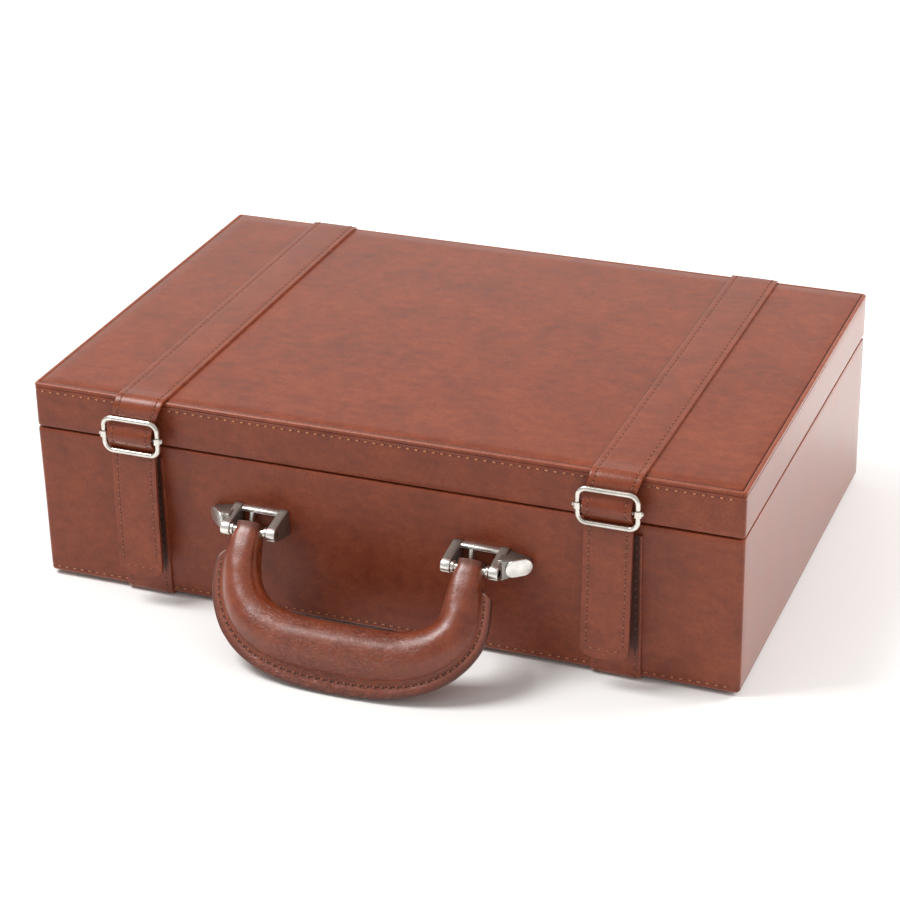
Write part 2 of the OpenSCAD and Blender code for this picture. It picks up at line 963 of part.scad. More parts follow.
// Ribbon loops that lift the upper tray
module tray_pull_tabs() {
    tab_t = 1;
    tab_w = 20;
    stands_up = 3;
    tab_x = inner_w / 2 - lining_t - lift_play - tray_wall_t - tab_t / 2;
    tab_h = upper_top_z - upper_deck_z + stands_up;
    color("maroon")
        for (s = [-1, 1])
            translate([s * tab_x, 0, upper_deck_z + tab_h / 2])
                cube([tab_t, tab_w, tab_h], center = true);
}

base_core();
base_cover();
base_lining();
base_strap(-1);  // base_strap_left
base_strap(1);  // base_strap_right
base_magnet(-1);  // base_magnet_left
base_magnet(1);  // base_magnet_right
handle_bracket(-1);  // handle_bracket_left
handle_bracket(1);  // handle_bracket_right
bracket_screws();
backing_plates();
handle_pin(-1);  // handle_pin_left
handle_pin(1);  // handle_pin_right
lower_tray();
hinge_leaf_base();
hinge_pin();
hinge_screws_base();
lid_core();
lid_top_cover();
lid_side_cover();
lid_lining();
lid_pad();
lid_strap(-1);  // lid_strap_left
lid_strap(1);  // lid_strap_right
hinge_leaf_lid();
hinge_screws_lid();
strap_tail(-1);  // strap_tail_left
buckle_frame(-1);  // buckle_frame_left
buckle_bar(-1);  // buckle_bar_left
tail_magnet(-1);  // tail_magnet_left
strap_tail(1);  // strap_tail_right
buckle_frame(1);  // buckle_frame_right
buckle_bar(1);  // buckle_bar_right
tail_magnet(1);  // tail_magnet_right
handle_cover();
handle_core();
handle_washers();
upper_tray();
tray_pull_tabs();
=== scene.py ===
# %% [markdown]
# # A leather poker chip case
# The real case is a board box wrapped in leather, with two straps that buckle over the front and
# a padded handle on two cast brackets. A CAD model of it is already packed, with every hinge and
# slide in place, and this script builds the visible leather, metal and cloth around that model.
# The CAD parts could be rebuilt here too, but then nothing would hold the two models together,
# so they are loaded first and everything else takes its place and size from them.

import json
from math import atan2, cos, exp, pi, radians, sin, sqrt, tan

import bmesh
import bpy
from mathutils import Matrix, Vector, noise


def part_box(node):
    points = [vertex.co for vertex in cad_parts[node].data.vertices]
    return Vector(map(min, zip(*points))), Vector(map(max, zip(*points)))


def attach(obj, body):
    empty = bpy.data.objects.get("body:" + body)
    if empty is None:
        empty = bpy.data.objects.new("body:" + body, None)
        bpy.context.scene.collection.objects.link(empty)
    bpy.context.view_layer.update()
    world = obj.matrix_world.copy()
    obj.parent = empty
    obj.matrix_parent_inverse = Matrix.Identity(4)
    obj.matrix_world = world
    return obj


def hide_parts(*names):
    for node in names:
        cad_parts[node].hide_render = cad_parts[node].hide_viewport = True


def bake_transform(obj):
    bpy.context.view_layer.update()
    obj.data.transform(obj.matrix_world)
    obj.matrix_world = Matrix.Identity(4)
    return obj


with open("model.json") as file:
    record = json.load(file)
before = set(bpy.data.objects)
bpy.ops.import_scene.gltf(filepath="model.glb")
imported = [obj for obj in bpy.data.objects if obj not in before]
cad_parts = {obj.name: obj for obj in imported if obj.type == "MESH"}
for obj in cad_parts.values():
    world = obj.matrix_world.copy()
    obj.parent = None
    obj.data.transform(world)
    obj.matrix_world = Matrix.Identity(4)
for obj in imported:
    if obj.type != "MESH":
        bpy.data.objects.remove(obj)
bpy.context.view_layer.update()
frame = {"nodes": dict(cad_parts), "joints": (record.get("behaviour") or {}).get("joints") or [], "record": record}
MM = 0.001

# %% [markdown]
# ## Driving sizes
# Shapes below are drawn in millimetres, because a leather worker thinks in them, and each mesh is
# scaled to metres once, at the very end. The sizes could be typed in again from the drawing, but a
# copied number goes stale. Here they are read from the boxes of the CAD nodes.

# %% Read the sizes from the frame
def box_mm(node):
    """Lowest and highest corner of a CAD node, in millimetres."""
    low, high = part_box(node)
    return low / MM, high / MM


def joint_point(name):
    """A joint's place, in millimetres."""
    found = next(j for j in frame["joints"] if j["name"] == name)
    return Vector(found["pos_m"]) / MM


base_low, base_high = box_mm("base_cover")
side_low = box_mm("lid_side_cover")[0]
top_high = box_mm("lid_top_cover")[1]
CASE_W = base_high.x - base_low.x
CASE_D = base_high.y - base_low.y
FRONT = base_low.y
BACK = base_high.y
BASE_TOP = base_high.z
LID_RIM = side_low.z
LID_TOP = top_high.z
PARTING = (BASE_TOP + LID_RIM) / 2
EDGE_R = 2.5
WALL = 10.5
hinge = joint_point("lid_hinge")
print(f"case {CASE_W:.0f} x {CASE_D:.0f} x {LID_TOP:.0f} mm, lid opens at z = {PARTING:.1f} mm")

# %% [markdown]
# ## Two helpers for shapes
# Most of this case is made of strips and skins: a strap is a flat strip bent along a route, and the
# leather round the base is a flat band bent round a rectangle. Each could be pushed and pulled by
# hand, but a flat grid whose points are moved by one rule is quicker to make, has even quads and is
# easy to change. The first helper does that. The second turns a finished bmesh into an object: it
# scales it to metres, marks creases sharper than a given angle, and hands it to a CAD body.

# %% The grid helper and the finishing helper
def bent_grid(columns, rows, place):
    """A flat grid of quads whose point (column, row) goes to place(column, row)."""
    bm = bmesh.new()
    bmesh.ops.create_grid(bm, x_segments=columns, y_segments=rows, size=0.5)
    low_x = min(v.co.x for v in bm.verts)
    low_y = min(v.co.y for v in bm.verts)
    size_x = max(v.co.x for v in bm.verts) - low_x
    size_y = max(v.co.y for v in bm.verts) - low_y
    for v in bm.verts:
        column = round((v.co.x - low_x) / size_x * columns)
        row = round((v.co.y - low_y) / size_y * rows)
        v.co = Vector(place(column, row))
    bmesh.ops.remove_doubles(bm, verts=bm.verts, dist=0.002)
    bmesh.ops.dissolve_degenerate(bm, edges=bm.edges, dist=0.001)
    return bm


def smooth(t):
    t = min(1, max(0, t))
    return t * t * (3 - 2 * t)


def peak(distance, width):
    """1 where distance is 0, fading to nothing over about two widths."""
    return exp(-((distance / width) ** 2))


def close_holes(bm, where=lambda co: True):
    """Fills the open loops whose points all pass a test."""
    rim = [e for e in bm.edges if e.is_boundary and all(where(v.co) for v in e.verts)]
    bmesh.ops.holes_fill(bm, edges=rim, sides=0)
    bmesh.ops.recalc_face_normals(bm, faces=bm.faces)


def absorb(bm, part, matrix=Matrix()):
    """Adds another bmesh to this one, and frees it."""
    mesh = bpy.data.meshes.new("part")
    part.to_mesh(mesh)
    part.free()
    mesh.transform(matrix)
    bm.from_mesh(mesh)
    bpy.data.meshes.remove(mesh)


def add_object(name, data):
    """Puts a new object with this data in the scene."""
    made = bpy.data.objects.new(name, data)
    bpy.context.scene.collection.objects.link(made)
    return made


def make_piece(name, bm, paints, body=None, replaces=(), crease=40, wear=None):
    """Turns a bmesh in millimetres into a finished object in metres that rides on a body."""
    if wear:
        layer = bm.verts.layers.float.new("wear")
        for v in bm.verts:
            v[layer] = wear(v.co)
    bmesh.ops.scale(bm, vec=(MM, MM, MM), verts=bm.verts)
    mesh = bpy.data.meshes.new(name)
    bm.to_mesh(mesh)
    bm.free()
    mesh.shade_smooth()
    mesh.set_sharp_from_angle(angle=radians(crease))
    piece = add_object(name, mesh)
    for paint in paints:
        mesh.materials.append(paint)
    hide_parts(*replaces)
    if body:
        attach(piece, body)
    print(f"{name}: {len(mesh.polygons)} faces")
    return piece


def add_modifier(piece, kind, **settings):
    """Adds a modifier with its settings."""
    made = piece.modifiers.new(kind.title(), kind)
    for key, value in settings.items():
        setattr(made, key, value)
    return made

# %% [markdown]
# ## Writing materials as arithmetic
# A material is a small network of nodes. Wiring it by hand in the editor is fine for one, but this
# case has a dozen that share the same ideas. So a node's output is wrapped in a class that knows
# how to add, multiply and subtract: `1 - mask` then adds a Math node by itself. Every other kind of
# node comes from one method, and colours are always mixed by a Mix node, because a Math node would
# turn them grey.

# %% Sockets that can be added and multiplied
class Wire:
    """An output socket. Arithmetic on it adds Math nodes."""

    def __init__(self, paint, socket):
        self.paint = paint
        self.socket = socket

    def _math(self, operation, a, b):
        return self.paint.node("Math", {"operation": operation}, {0: a, 1: b})

    def __add__(self, other):
        return self._math("ADD", self, other)

    def __radd__(self, other):
        return self._math("ADD", other, self)

    def __sub__(self, other):
        return self._math("SUBTRACT", self, other)

    def __rsub__(self, other):
        return self._math("SUBTRACT", other, self)

    def __mul__(self, other):
        return self._math("MULTIPLY", self, other)


class Paint:
    """A material under construction."""

    def __init__(self, name, **constants):
        self.material = bpy.data.materials.new(name)
        self.material.use_nodes = True
        self.tree = self.material.node_tree
        self.shader = self.tree.nodes["Principled BSDF"]
        for key, value in constants.items():
            self.shader.inputs[key.replace("_", " ")].default_value = value

    def node(self, kind, settings=None, sockets=None, out=0):
        """Adds a node of any kind: its settings first, then the values or wires of its sockets."""
        made = self.tree.nodes.new("ShaderNode" + kind)
        for key, value in (settings or {}).items():
            if key == "stops":
                self._set_stops(made.color_ramp, value)
            else:
                setattr(made, key, value)
        for key, value in (sockets or {}).items():
            self._feed(made.inputs[key], value)
        return Wire(self, made.outputs[out])

    def _set_stops(self, ramp, stops):
        while len(ramp.elements) < len(stops):
            ramp.elements.new(0.5)
        for element, (place, colour) in zip(ramp.elements, stops):
            element.position = place
            element.color = (*colour, 1)

    def _feed(self, socket, value):
        if isinstance(value, Wire):
            self.tree.links.new(value.socket, socket)
        else:
            socket.default_value = value

    def set(self, name, value):
        self._feed(self.shader.inputs[name], value)

    def place(self, stretch=(1, 1, 1)):
        """Object coordinates, stretched. Every piece sits at the origin, so they are in metres."""
        coordinates = self.node("TexCoord", out="Object")
        return self.node("Mapping", {}, {"Vector": coordinates, "Scale": stretch})

    def noise(self, size_mm, detail=2, rough=0.5, where=None, warp=0):
        """Noise whose blotches are about size_mm across, from 0 to 1."""
        sockets = {"Scale": 1 / (size_mm * MM), "Detail": detail, "Roughness": rough, "Distortion": warp}
        sockets["Vector"] = where or self.place()
        return self.node("TexNoise", {}, sockets)

    def ramp(self, wire, *stops):
        return self.node("ValToRGB", {"stops": stops}, {0: wire})

    def step(self, wire, low, high):
        """0 below low and 1 above high."""
        return self.node("MapRange", {"clamp": True}, {0: wire, 1: low, 2: high, 3: 0.0, 4: 1.0})

    def mix(self, factor, a, b, how="MIX"):
        """Mixes two colours."""
        ends = [(*c, 1) if isinstance(c, tuple) else c for c in (a, b)]
        settings = {"data_type": "RGBA", "blend_type": how}
        return self.node("Mix", settings, {0: factor, 6: ends[0], 7: ends[1]}, out=2)

    def bump(self, height, depth_mm, strength=1.0, under=None):
        sockets = {"Height": height, "Distance": depth_mm * MM, "Strength": strength}
        if under:
            sockets["Normal"] = under
        return self.node("Bump", {}, sockets)


print("node helpers ready")

# %% [markdown]
# ## Leather
# The leather is a cognac brown that was rubbed with a darker dye, so it is cloudy: blotches one to
# three centimetres across over a finer mottling. It has a fine pebbled grain, a soft gloss, and it
# goes darker and rougher where it is cut and lighter where it is bent over an edge. An image
# texture would show its tiling on a box this size. Noise at three scales never repeats, and the
# grain is a Voronoi pattern, whose cells look like the pebbles of real hide. A point attribute,
# which the pieces carry, says where the edges are. It also carries painted shade: the dark
# cut-edge colour is painted on the base straps under the tails and on the tails' backs.

# %% The leather recipe
DARK_HIDE = (0.128, 0.020, 0.006)
MID_HIDE = (0.208, 0.038, 0.011)
LIGHT_HIDE = (0.280, 0.059, 0.018)
# The cut-edge colour also paints shade: nearly black under the strap tails and on their backs.
CUT_EDGE_AND_SHADE = (0.050, 0.012, 0.007)
WORN_EDGE = (0.37, 0.105, 0.055)


def leather(name, rough=0.40, grain_mm=1.1, grain_depth=0.05, wrinkle_depth=0.0, coat=0.0, smooth_from=None):
    """Cloudy brown leather with a pebbled grain, its wrinkles fading out beyond smooth_from mm."""
    paint = Paint(name, Coat_Roughness=0.3, Coat_IOR=1.6, Specular_IOR_Level=0.40)
    turned_away = paint.node("LayerWeight", {}, {"Blend": 0.5}, out="Facing")
    paint.set("Coat Weight", paint.step(turned_away, 0.50, 0.68) * 0.9 + coat)
    clouds = paint.noise(24, detail=3, rough=0.55, warp=0.4)
    mottle = paint.noise(5, detail=5, rough=0.68, where=paint.place((0.7, 1, 1)))
    tone = clouds * 0.42 + mottle * 0.58
    hide = paint.ramp(tone, (0.30, DARK_HIDE), (0.5, MID_HIDE), (0.70, LIGHT_HIDE))
    wear = paint.node("Attribute", {"attribute_name": "wear"}, out="Fac")
    # Below zero the attribute darkens to the cut-edge colour: on cut edges, and as painted shade under and behind
    # the strap tails.
    cut_and_shade = paint.step(wear, 0.05, -0.8)
    bent = paint.step(wear, 0.05, 0.9) * (mottle * 0.8 + 0.25)
    hide = paint.mix(cut_and_shade, hide, CUT_EDGE_AND_SHADE)
    hide = paint.mix(bent, hide, WORN_EDGE)
    pebbles = paint.node(
        "TexVoronoi", {"feature": "SMOOTH_F1"},
        {"Vector": paint.place(), "Scale": 1 / (grain_mm * MM), "Smoothness": 0.6, "Randomness": 1.0},
    )
    pores = paint.step(pebbles, 0.3, 0.7)
    hide = paint.mix(pores * 0.35, hide, DARK_HIDE)
    paint.set("Base Color", hide)
    paint.set("Roughness", rough + (mottle - 0.5) * 0.16 + (clouds - 0.5) * 0.12 + cut_and_shade * 0.25)
    normal = paint.bump(1 - pebbles, grain_depth)
    if wrinkle_depth:
        creases = paint.noise(2.8, detail=4, rough=0.6, where=paint.place((0.6, 1, 1)), warp=1.5)
        if smooth_from:
            across = paint.node("SeparateXYZ", {}, {0: paint.place()})
            from_middle = paint.node("Math", {"operation": "ABSOLUTE"}, {0: across})
            creases = creases * paint.step(from_middle, smooth_from * 1.4 * MM, smooth_from * 0.6 * MM)
        normal = paint.bump(creases, wrinkle_depth, under=normal)
    swell = paint.noise(9, detail=2)
    paint.set("Normal", paint.bump(swell, 0.10, under=normal))
    return paint.material


case_leather = leather("case leather")
strap_leather = leather("strap leather", rough=0.36, grain_depth=0.04, coat=0.06)
grip_leather = leather(
    "grip leather", rough=0.32, grain_mm=1.3, grain_depth=0.05, wrinkle_depth=1.6, coat=0.30, smooth_from=40
)
print("leathers:", case_leather.name, strap_leather.name, grip_leather.name)

# %% [markdown]
# ## Thread, metal and cloth
# The thread is waxed orange-brown, and each hole that it goes down is a little bead painted nearly
# black: painted shade, where light doesn't reach into the hole. The buckles and brackets are nickel
# plate: a metal whose only colour is its reflection, so its looks come from slightly uneven roughness
# and faint polishing scratches. The brackets' faces nearer the case are a darker satin nickel, whose
# dark colour is painted shade. The trays are flocked foam and the linings velvet, both of which are
# dark and get their softness from sheen, a shader setting for the fuzz that catches light at a
# shallow angle.

# %% The other finishes
def thread_paint(name, dark, light):
    """Waxed thread: two plies twisted together."""
    paint = Paint(name, Roughness=0.55, Sheen_Weight=0.1)
    twist = paint.node(
        "TexWave", {"bands_direction": "DIAGONAL"},
        {"Vector": paint.place(), "Scale": 260.0, "Distortion": 0.6},
        out="Fac",
    )
    shade = paint.mix(paint.noise(7), dark, light)
    paint.set("Base Color", paint.mix(twist * 0.4, shade, tuple(0.5 * c for c in dark)))
    paint.set("Normal", paint.bump(twist, 0.08))
    return paint.material


# Needle holes: painted shade, nearly black, for the dark inside of each hole.
def hole_shade_paint():
    paint = Paint("needle holes, painted shade", Roughness=0.8)
    paint.set("Base Color", paint.mix(paint.noise(3), (0.030, 0.009, 0.006), (0.060, 0.018, 0.011)))
    return paint.material


def metal(name, colour, rough, spread=0.08, scratch_mm=0.05, satin=0.0):
    """Plated or bare metal with uneven polish and faint scratches along X."""
    paint = Paint(name, Metallic=1.0)
    patches = paint.noise(6, detail=3)
    scratches = paint.noise(0.8, detail=4, rough=0.7, where=paint.place((0.06, 1, 1)))
    dull = tuple(0.72 * c for c in colour)
    paint.set("Base Color", paint.mix(paint.step(patches, 0.35, 0.8), colour, dull))
    paint.set("Roughness", rough + (patches - 0.5) * spread + scratches * spread)
    normal = paint.bump(scratches, scratch_mm, strength=0.25)
    if satin:
        normal = paint.bump(paint.noise(0.5, detail=2), satin, under=normal)
    paint.set("Normal", normal)
    return paint.material


def cloth(name, dark, light, weave_mm, sheen, depth=0.15, rough=0.9):
    """Velvet, flock or ribbon: a short pile or weave over a blotchy ground."""
    paint = Paint(name, Sheen_Weight=sheen, Sheen_Roughness=0.4, Specular_IOR_Level=0.2)
    blotches = paint.noise(18, detail=3)
    fibres = paint.noise(weave_mm, detail=3, rough=0.7)
    paint.set("Base Color", paint.mix(blotches * 0.5 + fibres * 0.5, dark, light))
    paint.set("Roughness", rough + (fibres - 0.5) * 0.15)
    paint.set("Normal", paint.bump(fibres, depth))
    return paint.material


def board_paint():
    paint = Paint("fibreboard", Roughness=0.85)
    strands = paint.noise(1.5, detail=5, rough=0.7, where=paint.place((0.25, 1, 1)))
    paint.set("Base Color", paint.ramp(strands, (0.3, (0.30, 0.19, 0.11)), (0.7, (0.52, 0.37, 0.23))))
    paint.set("Normal", paint.bump(strands, 0.2))
    return paint.material


orange_thread = thread_paint("orange waxed thread", (0.38, 0.12, 0.045), (0.52, 0.19, 0.075))
brown_thread = thread_paint("brown waxed thread", (0.24, 0.062, 0.022), (0.34, 0.10, 0.04))
# Nearly black thread: painted shade for the stitches that lie under the strap tails.
painted_shade_thread = thread_paint("thread in painted shade", (0.060, 0.016, 0.008), (0.085, 0.024, 0.012))
needle_hole_shade = hole_shade_paint()
nickel = metal("nickel plate", (0.74, 0.70, 0.64), 0.17, scratch_mm=0.004)
bright_nickel = metal("polished cast nickel", (0.84, 0.82, 0.78), 0.24, scratch_mm=0.004, satin=0.012)
# Darker nickel for the bracket faces nearer the case: its roughness is the casting's satin finish, its dark colour
# painted shade.
satin_nickel_painted_shade = metal("satin cast nickel, painted shade", (0.36, 0.33, 0.30), 0.38, spread=0.12, scratch_mm=0.01, satin=0.02)
steel = metal("plain steel", (0.56, 0.55, 0.53), 0.34)
velvet = cloth("velvet lining", (0.016, 0.009, 0.007), (0.045, 0.026, 0.020), 0.9, 0.5)
flock = cloth("flocked foam", (0.018, 0.010, 0.008), (0.060, 0.034, 0.026), 1.3, 0.7, depth=0.25)
quilt_cloth = cloth("quilted velvet", (0.030, 0.012, 0.009), (0.085, 0.036, 0.026), 1.0, 0.8, depth=0.2)
ribbon_cloth = cloth("satin ribbon", (0.10, 0.012, 0.010), (0.22, 0.03, 0.022), 0.5, 0.3, rough=0.45)
board = board_paint()
print("finishes:", len(bpy.data.materials))

# %% [markdown]
# ## The CAD parts that stay
# Trays, linings, boards, hinge, pins, screws and magnets already have their true shape, so they are
# not modelled again. They only get their finish: each node's record says which material slot it
# has, and one table here turns a slot into a material.

# %% Paint the CAD nodes
SLOT_PAINTS = {
    "leather": case_leather, "nickel": nickel, "steel": steel, "magnet": steel, "board": board,
    "lining": velvet, "pad": quilt_cloth, "flock": flock, "ribbon": ribbon_cloth,
}
for part in frame["record"]["subparts"]:
    for material_slot in frame["nodes"][part["node"]].material_slots:
        material_slot.material = SLOT_PAINTS[part["material_slot"]]

# %% [markdown]
# ## The leather round the base
# On the real case one hide is glued round the board box, folded over its rim and tucked inside. It
# could be a cube with bevelled edges, but the wall needs a stitch groove, a rolled rim and the cut
# back edge where the hinge sits. So the wall's cross-section is written down once, as pairs of
# inset and height, and a grid carries it round a rectangle with round corners. Glued leather is
# never quite flat, so a slow noise moves the wall in and out by a tenth of a millimetre, which is
# what breaks up its reflections.

# %% A rectangle to carry cross-sections round
def outline_stations(width, depth, cell=9.0, corner_steps=6):
    """Stations round a rectangle: the two corners it lies between, how far, and the way out."""
    signs = [(1, -1), (1, 1), (-1, 1), (-1, -1)]
    stations = []
    for k in range(4):
        here = signs[k]
        following = signs[(k + 1) % 4]
        start = -90 + 90 * k
        for i in range(corner_steps):
            stations.append((here, here, 0, radians(start + 90 * i / corner_steps)))
        side = depth if k % 2 == 0 else width
        count = max(2, round(side / cell))
        for i in range(count):
            stations.append((here, following, i / count, radians(start + 90)))
    return stations


def outline_point(station, inset, width, depth, radius):
    """The point of a station at an inset from the rectangle's side."""
    here, following, share, angle = station
    reach = max(radius, inset)
    bend = max(radius - inset, 0)
    mid_x = (here[0] + (following[0] - here[0]) * share) * (width / 2 - reach)
    mid_y = (here[1] + (following[1] - here[1]) * share) * (depth / 2 - reach)
    return Vector((mid_x + bend * cos(angle), mid_y + bend * sin(angle), 0))


def hide_wave(x, y, z):
    """How far glued leather stands off its board: slow swells and faint upright wrinkles."""
    slow = noise.noise(Vector((x / 60, y / 60, z / 45)))
    wrinkles = noise.noise(Vector((x / 9 + 7, y / 9, z / 70)))
    return 0.16 * slow + 0.07 * wrinkles


def carried_wall(profile, bevel_z):
    """Carries (inset, height) pairs round the case. bevel_z limits a height near the hinge."""
    stations = outline_stations(CASE_W, CASE_D)

    def place(column, row):
        inset, z = profile[row]
        station = stations[column % len(stations)]
        point = outline_point(station, inset, CASE_W, CASE_D, EDGE_R)
        if inset < 0.3:
            way = Vector((cos(station[3]), sin(station[3]), 0))
            point += way * hide_wave(point.x, point.y, z)
        point.z = bevel_z(point.y, z)
        return point

    return bent_grid(len(stations), len(profile) - 1, place)


print("stations round the case:", len(outline_stations(CASE_W, CASE_D)))

# %% Wrap the base
HINGE_BEVEL = tan(radians(51))
BEVEL_PLAY = 0.3
STITCH_ROW = 3.4


def base_bevel(y, z):
    """The back rim slopes down from the hinge's middle line."""
    return min(z, PARTING - BEVEL_PLAY - (y - hinge.y) * HINGE_BEVEL) if y > hinge.y else z


def turned_in_rim(edge, up):
    """The hide folded over the board's edge and tucked inside. up is 1 on the base, -1 on the lid."""
    tucked = [(WALL, edge - 0.8 * up), (WALL - 0.2, edge - 0.15 * up), (WALL - 0.7, edge)]
    flat = [(inset, edge) for inset in (6, 3.4, 2.6, 1.8, 1.0)]
    return tucked + flat + [(0.3, edge - 0.25 * up), (0.0, edge - 0.9 * up)]


def wall_levels(low, high, cell):
    count = max(1, round((high - low) / cell))
    return [low + (high - low) * i / count for i in range(count + 1)]


rim = turned_in_rim(BASE_TOP, 1)
groove = [(0.0, STITCH_ROW + 0.8), (0.22, STITCH_ROW), (0.0, STITCH_ROW - 0.7)]
wall = [(0.0, z) for z in reversed(wall_levels(STITCH_ROW + 2.5, BASE_TOP - 3.2, 8))]
foot = [(EDGE_R * (1 - cos(a)), EDGE_R * (1 - sin(a))) for a in [radians(15 * i) for i in range(1, 7)]]
base_profile = rim + wall + groove + foot + [(8, 0)]
base_bm = carried_wall(base_profile, base_bevel)
close_holes(base_bm, lambda co: co.z < 0.01)


def base_wear(co):
    """Lighter where the hide is bent over the rim and the lower edge."""
    near_rim = peak(co.z - BASE_TOP, 0.5)
    near_foot = peak(co.z - 0.8, 0.9)
    return 0.55 * max(near_rim, near_foot) * (abs(co.x) > CASE_W / 2 - 2 or abs(co.y) > CASE_D / 2 - 2)


base_leather = make_piece(
    "base_leather", base_bm, [case_leather], "base", ["base_cover"], wear=base_wear
)
add_modifier(base_leather, "SOLIDIFY", thickness=0.9 * MM, offset=-1)

# %% [markdown]
# ## The leather on the lid
# The lid is wrapped in two pieces, as boxes like this are: a band round the sides that ends in a
# rolled bead along the top edge, and a flat sheet that lies inside the bead. The thin dark line
# round the top is the gap between them. The band is carried round the rectangle like the base's.
# The sheet is a plain grid, whose outer edge is extruded twice and turned down, so that it meets the
# bead in a real seam and not in a painted line.

# %% Wrap the lid's sides
BEAD_R = 1.4
SEAM = 2.4


def lid_bevel(y, z):
    """The back rim slopes up from the hinge's middle line."""
    return max(z, PARTING + BEVEL_PLAY + (y - hinge.y) * HINGE_BEVEL) if y > hinge.y else z


rim = turned_in_rim(LID_RIM, -1)
bead_z = LID_TOP - BEAD_R
lid_row_z = bead_z - 2.9
wall = [(0.0, z) for z in wall_levels(LID_RIM + 3.5, lid_row_z - 1.6, 4)]
groove = [(0.0, lid_row_z - 0.8), (0.2, lid_row_z), (0.02, lid_row_z + 0.8)]
valley = [(0.05, bead_z - 1.3), (0.45, bead_z - 0.85), (0.5, bead_z - 0.6)]
bead = [
    (BEAD_R - 0.05 - BEAD_R * cos(a), bead_z + BEAD_R * sin(a))
    for a in [radians(-15 + 15 * i) for i in range(10)]
]
tuck = [(SEAM - 0.05, LID_TOP - 0.75), (SEAM + 0.05, LID_TOP - 1.1)]
lid_bm = carried_wall(rim + wall + groove + valley + bead + tuck, lid_bevel)
bmesh.ops.recalc_face_normals(lid_bm, faces=lid_bm.faces)


def bead_wear(co):
    return 0.7 * peak(co.z - LID_TOP, 0.7) + 0.4 * peak(co.z - LID_RIM, 0.5)


lid_side_leather = make_piece(
    "lid_side_leather", lid_bm, [case_leather], "lid", ["lid_side_cover"], wear=bead_wear
)
add_modifier(lid_side_leather, "SOLIDIFY", thickness=0.9 * MM, offset=-1)

# %% Lay the sheet on the lid's top
sheet_w = CASE_W - 2 * (SEAM + 1.0)
sheet_d = CASE_D - 2 * (SEAM + 1.0)
sheet_columns, sheet_rows = 52, 34


def sheet_point(column, row):
    x = (column / sheet_columns - 0.5) * sheet_w
    y = (row / sheet_rows - 0.5) * sheet_d
    return Vector((x, y, LID_TOP + 0.6 * hide_wave(x, y, 300)))


top_bm = bent_grid(sheet_columns, sheet_rows, sheet_point)
for outwards, downwards in ((0.55, 0.12), (0.35, 0.4), (0.05, 0.6)):
    edges = [e for e in top_bm.edges if e.is_boundary]
    made = bmesh.ops.extrude_edge_only(top_bm, edges=edges)["geom"]
    reach_x = max(v.co.x for v in top_bm.verts)
    reach_y = max(v.co.y for v in top_bm.verts)
    for v in [g for g in made if isinstance(g, bmesh.types.BMVert)]:
        v.co.x += outwards * (round(v.co.x / reach_x) if abs(v.co.x) > reach_x - 0.01 else 0)
        v.co.y += outwards * (round(v.co.y / reach_y) if abs(v.co.y) > reach_y - 0.01 else 0)
        v.co.z -= downwards
close_holes(top_bm)


def sheet_wear(co):
    edge = min(sheet_w / 2 + 1 - abs(co.x), sheet_d / 2 + 1 - abs(co.y))
    return -0.5 * peak(edge, 0.5)


make_piece(
    "lid_top_leather", top_bm, [case_leather], "lid", ["lid_top_cover"], wear=sheet_wear
)

# %% [markdown]
# ## Straps
# Each strap is a flat strip with rounded cut edges and a shallow groove where its stitches lie. On
# the base it goes from under the buckle down the front, under the case and up the back. On the lid
# one long strip runs from the back, over the top, round the front edge, behind the buckle's upper
# wire, over its bar, behind its lower wire, and ends in the loose tail. The CAD model had to cut it
# into a fixed part and a turning tail, but leather doesn't break at a fold, so here it is one piece,
# which is not attached to either body. A curve with a bevel could make it too, but a grid keeps the
# groove, the taper and the sideways drift under control.

# %% Cross-section and route of a strip
def strip_section(half_w, thick, groove_at, groove_depth):
    """The closed outline of a strip, as (sideways, outwards) points."""
    r = min(0.45, thick / 2)
    half_t = thick / 2
    across = 24
    top = []
    for i in range(across + 1):
        x = (half_w - r) * (2 * i / across - 1)
        dip = groove_depth * peak(abs(x) - groove_at, 0.55)
        crown = 0.12 * (1 - (x / half_w) ** 2)
        top.append((x, half_t - 0.12 + crown - dip))
    right = [(half_w - r * 0.3, half_t - r * 0.35), (half_w, 0), (half_w - r * 0.3, -half_t + r * 0.35)]
    under = [((half_w - r) * (1 - 2 * i / 6), -half_t) for i in range(7)]
    left = [(-x, z) for x, z in reversed(right)]
    return top + right + under + left


def unit(vector):
    return vector / vector.length


def line(start, end, step):
    """Points from start towards end, without the end itself."""
    start, end = Vector(start), Vector(end)
    count = max(1, round((end - start).length / step))
    return [start + (end - start) * (i / count) for i in range(count)]


def bend(centre, radius, start, end, steps):
    """Points on an arc, angles in degrees, without the last one."""
    angles = [radians(start + (end - start) * i / steps) for i in range(steps)]
    return [Vector((centre[0] + radius * cos(a), centre[1] + radius * sin(a))) for a in angles]


def outward(route, i):
    """The way out of a (y, z) route at point i, at right angles to its travel."""
    along = unit(route[min(i + 1, len(route) - 1)] - route[max(i - 1, 0)])
    return Vector((along.y, -along.x))


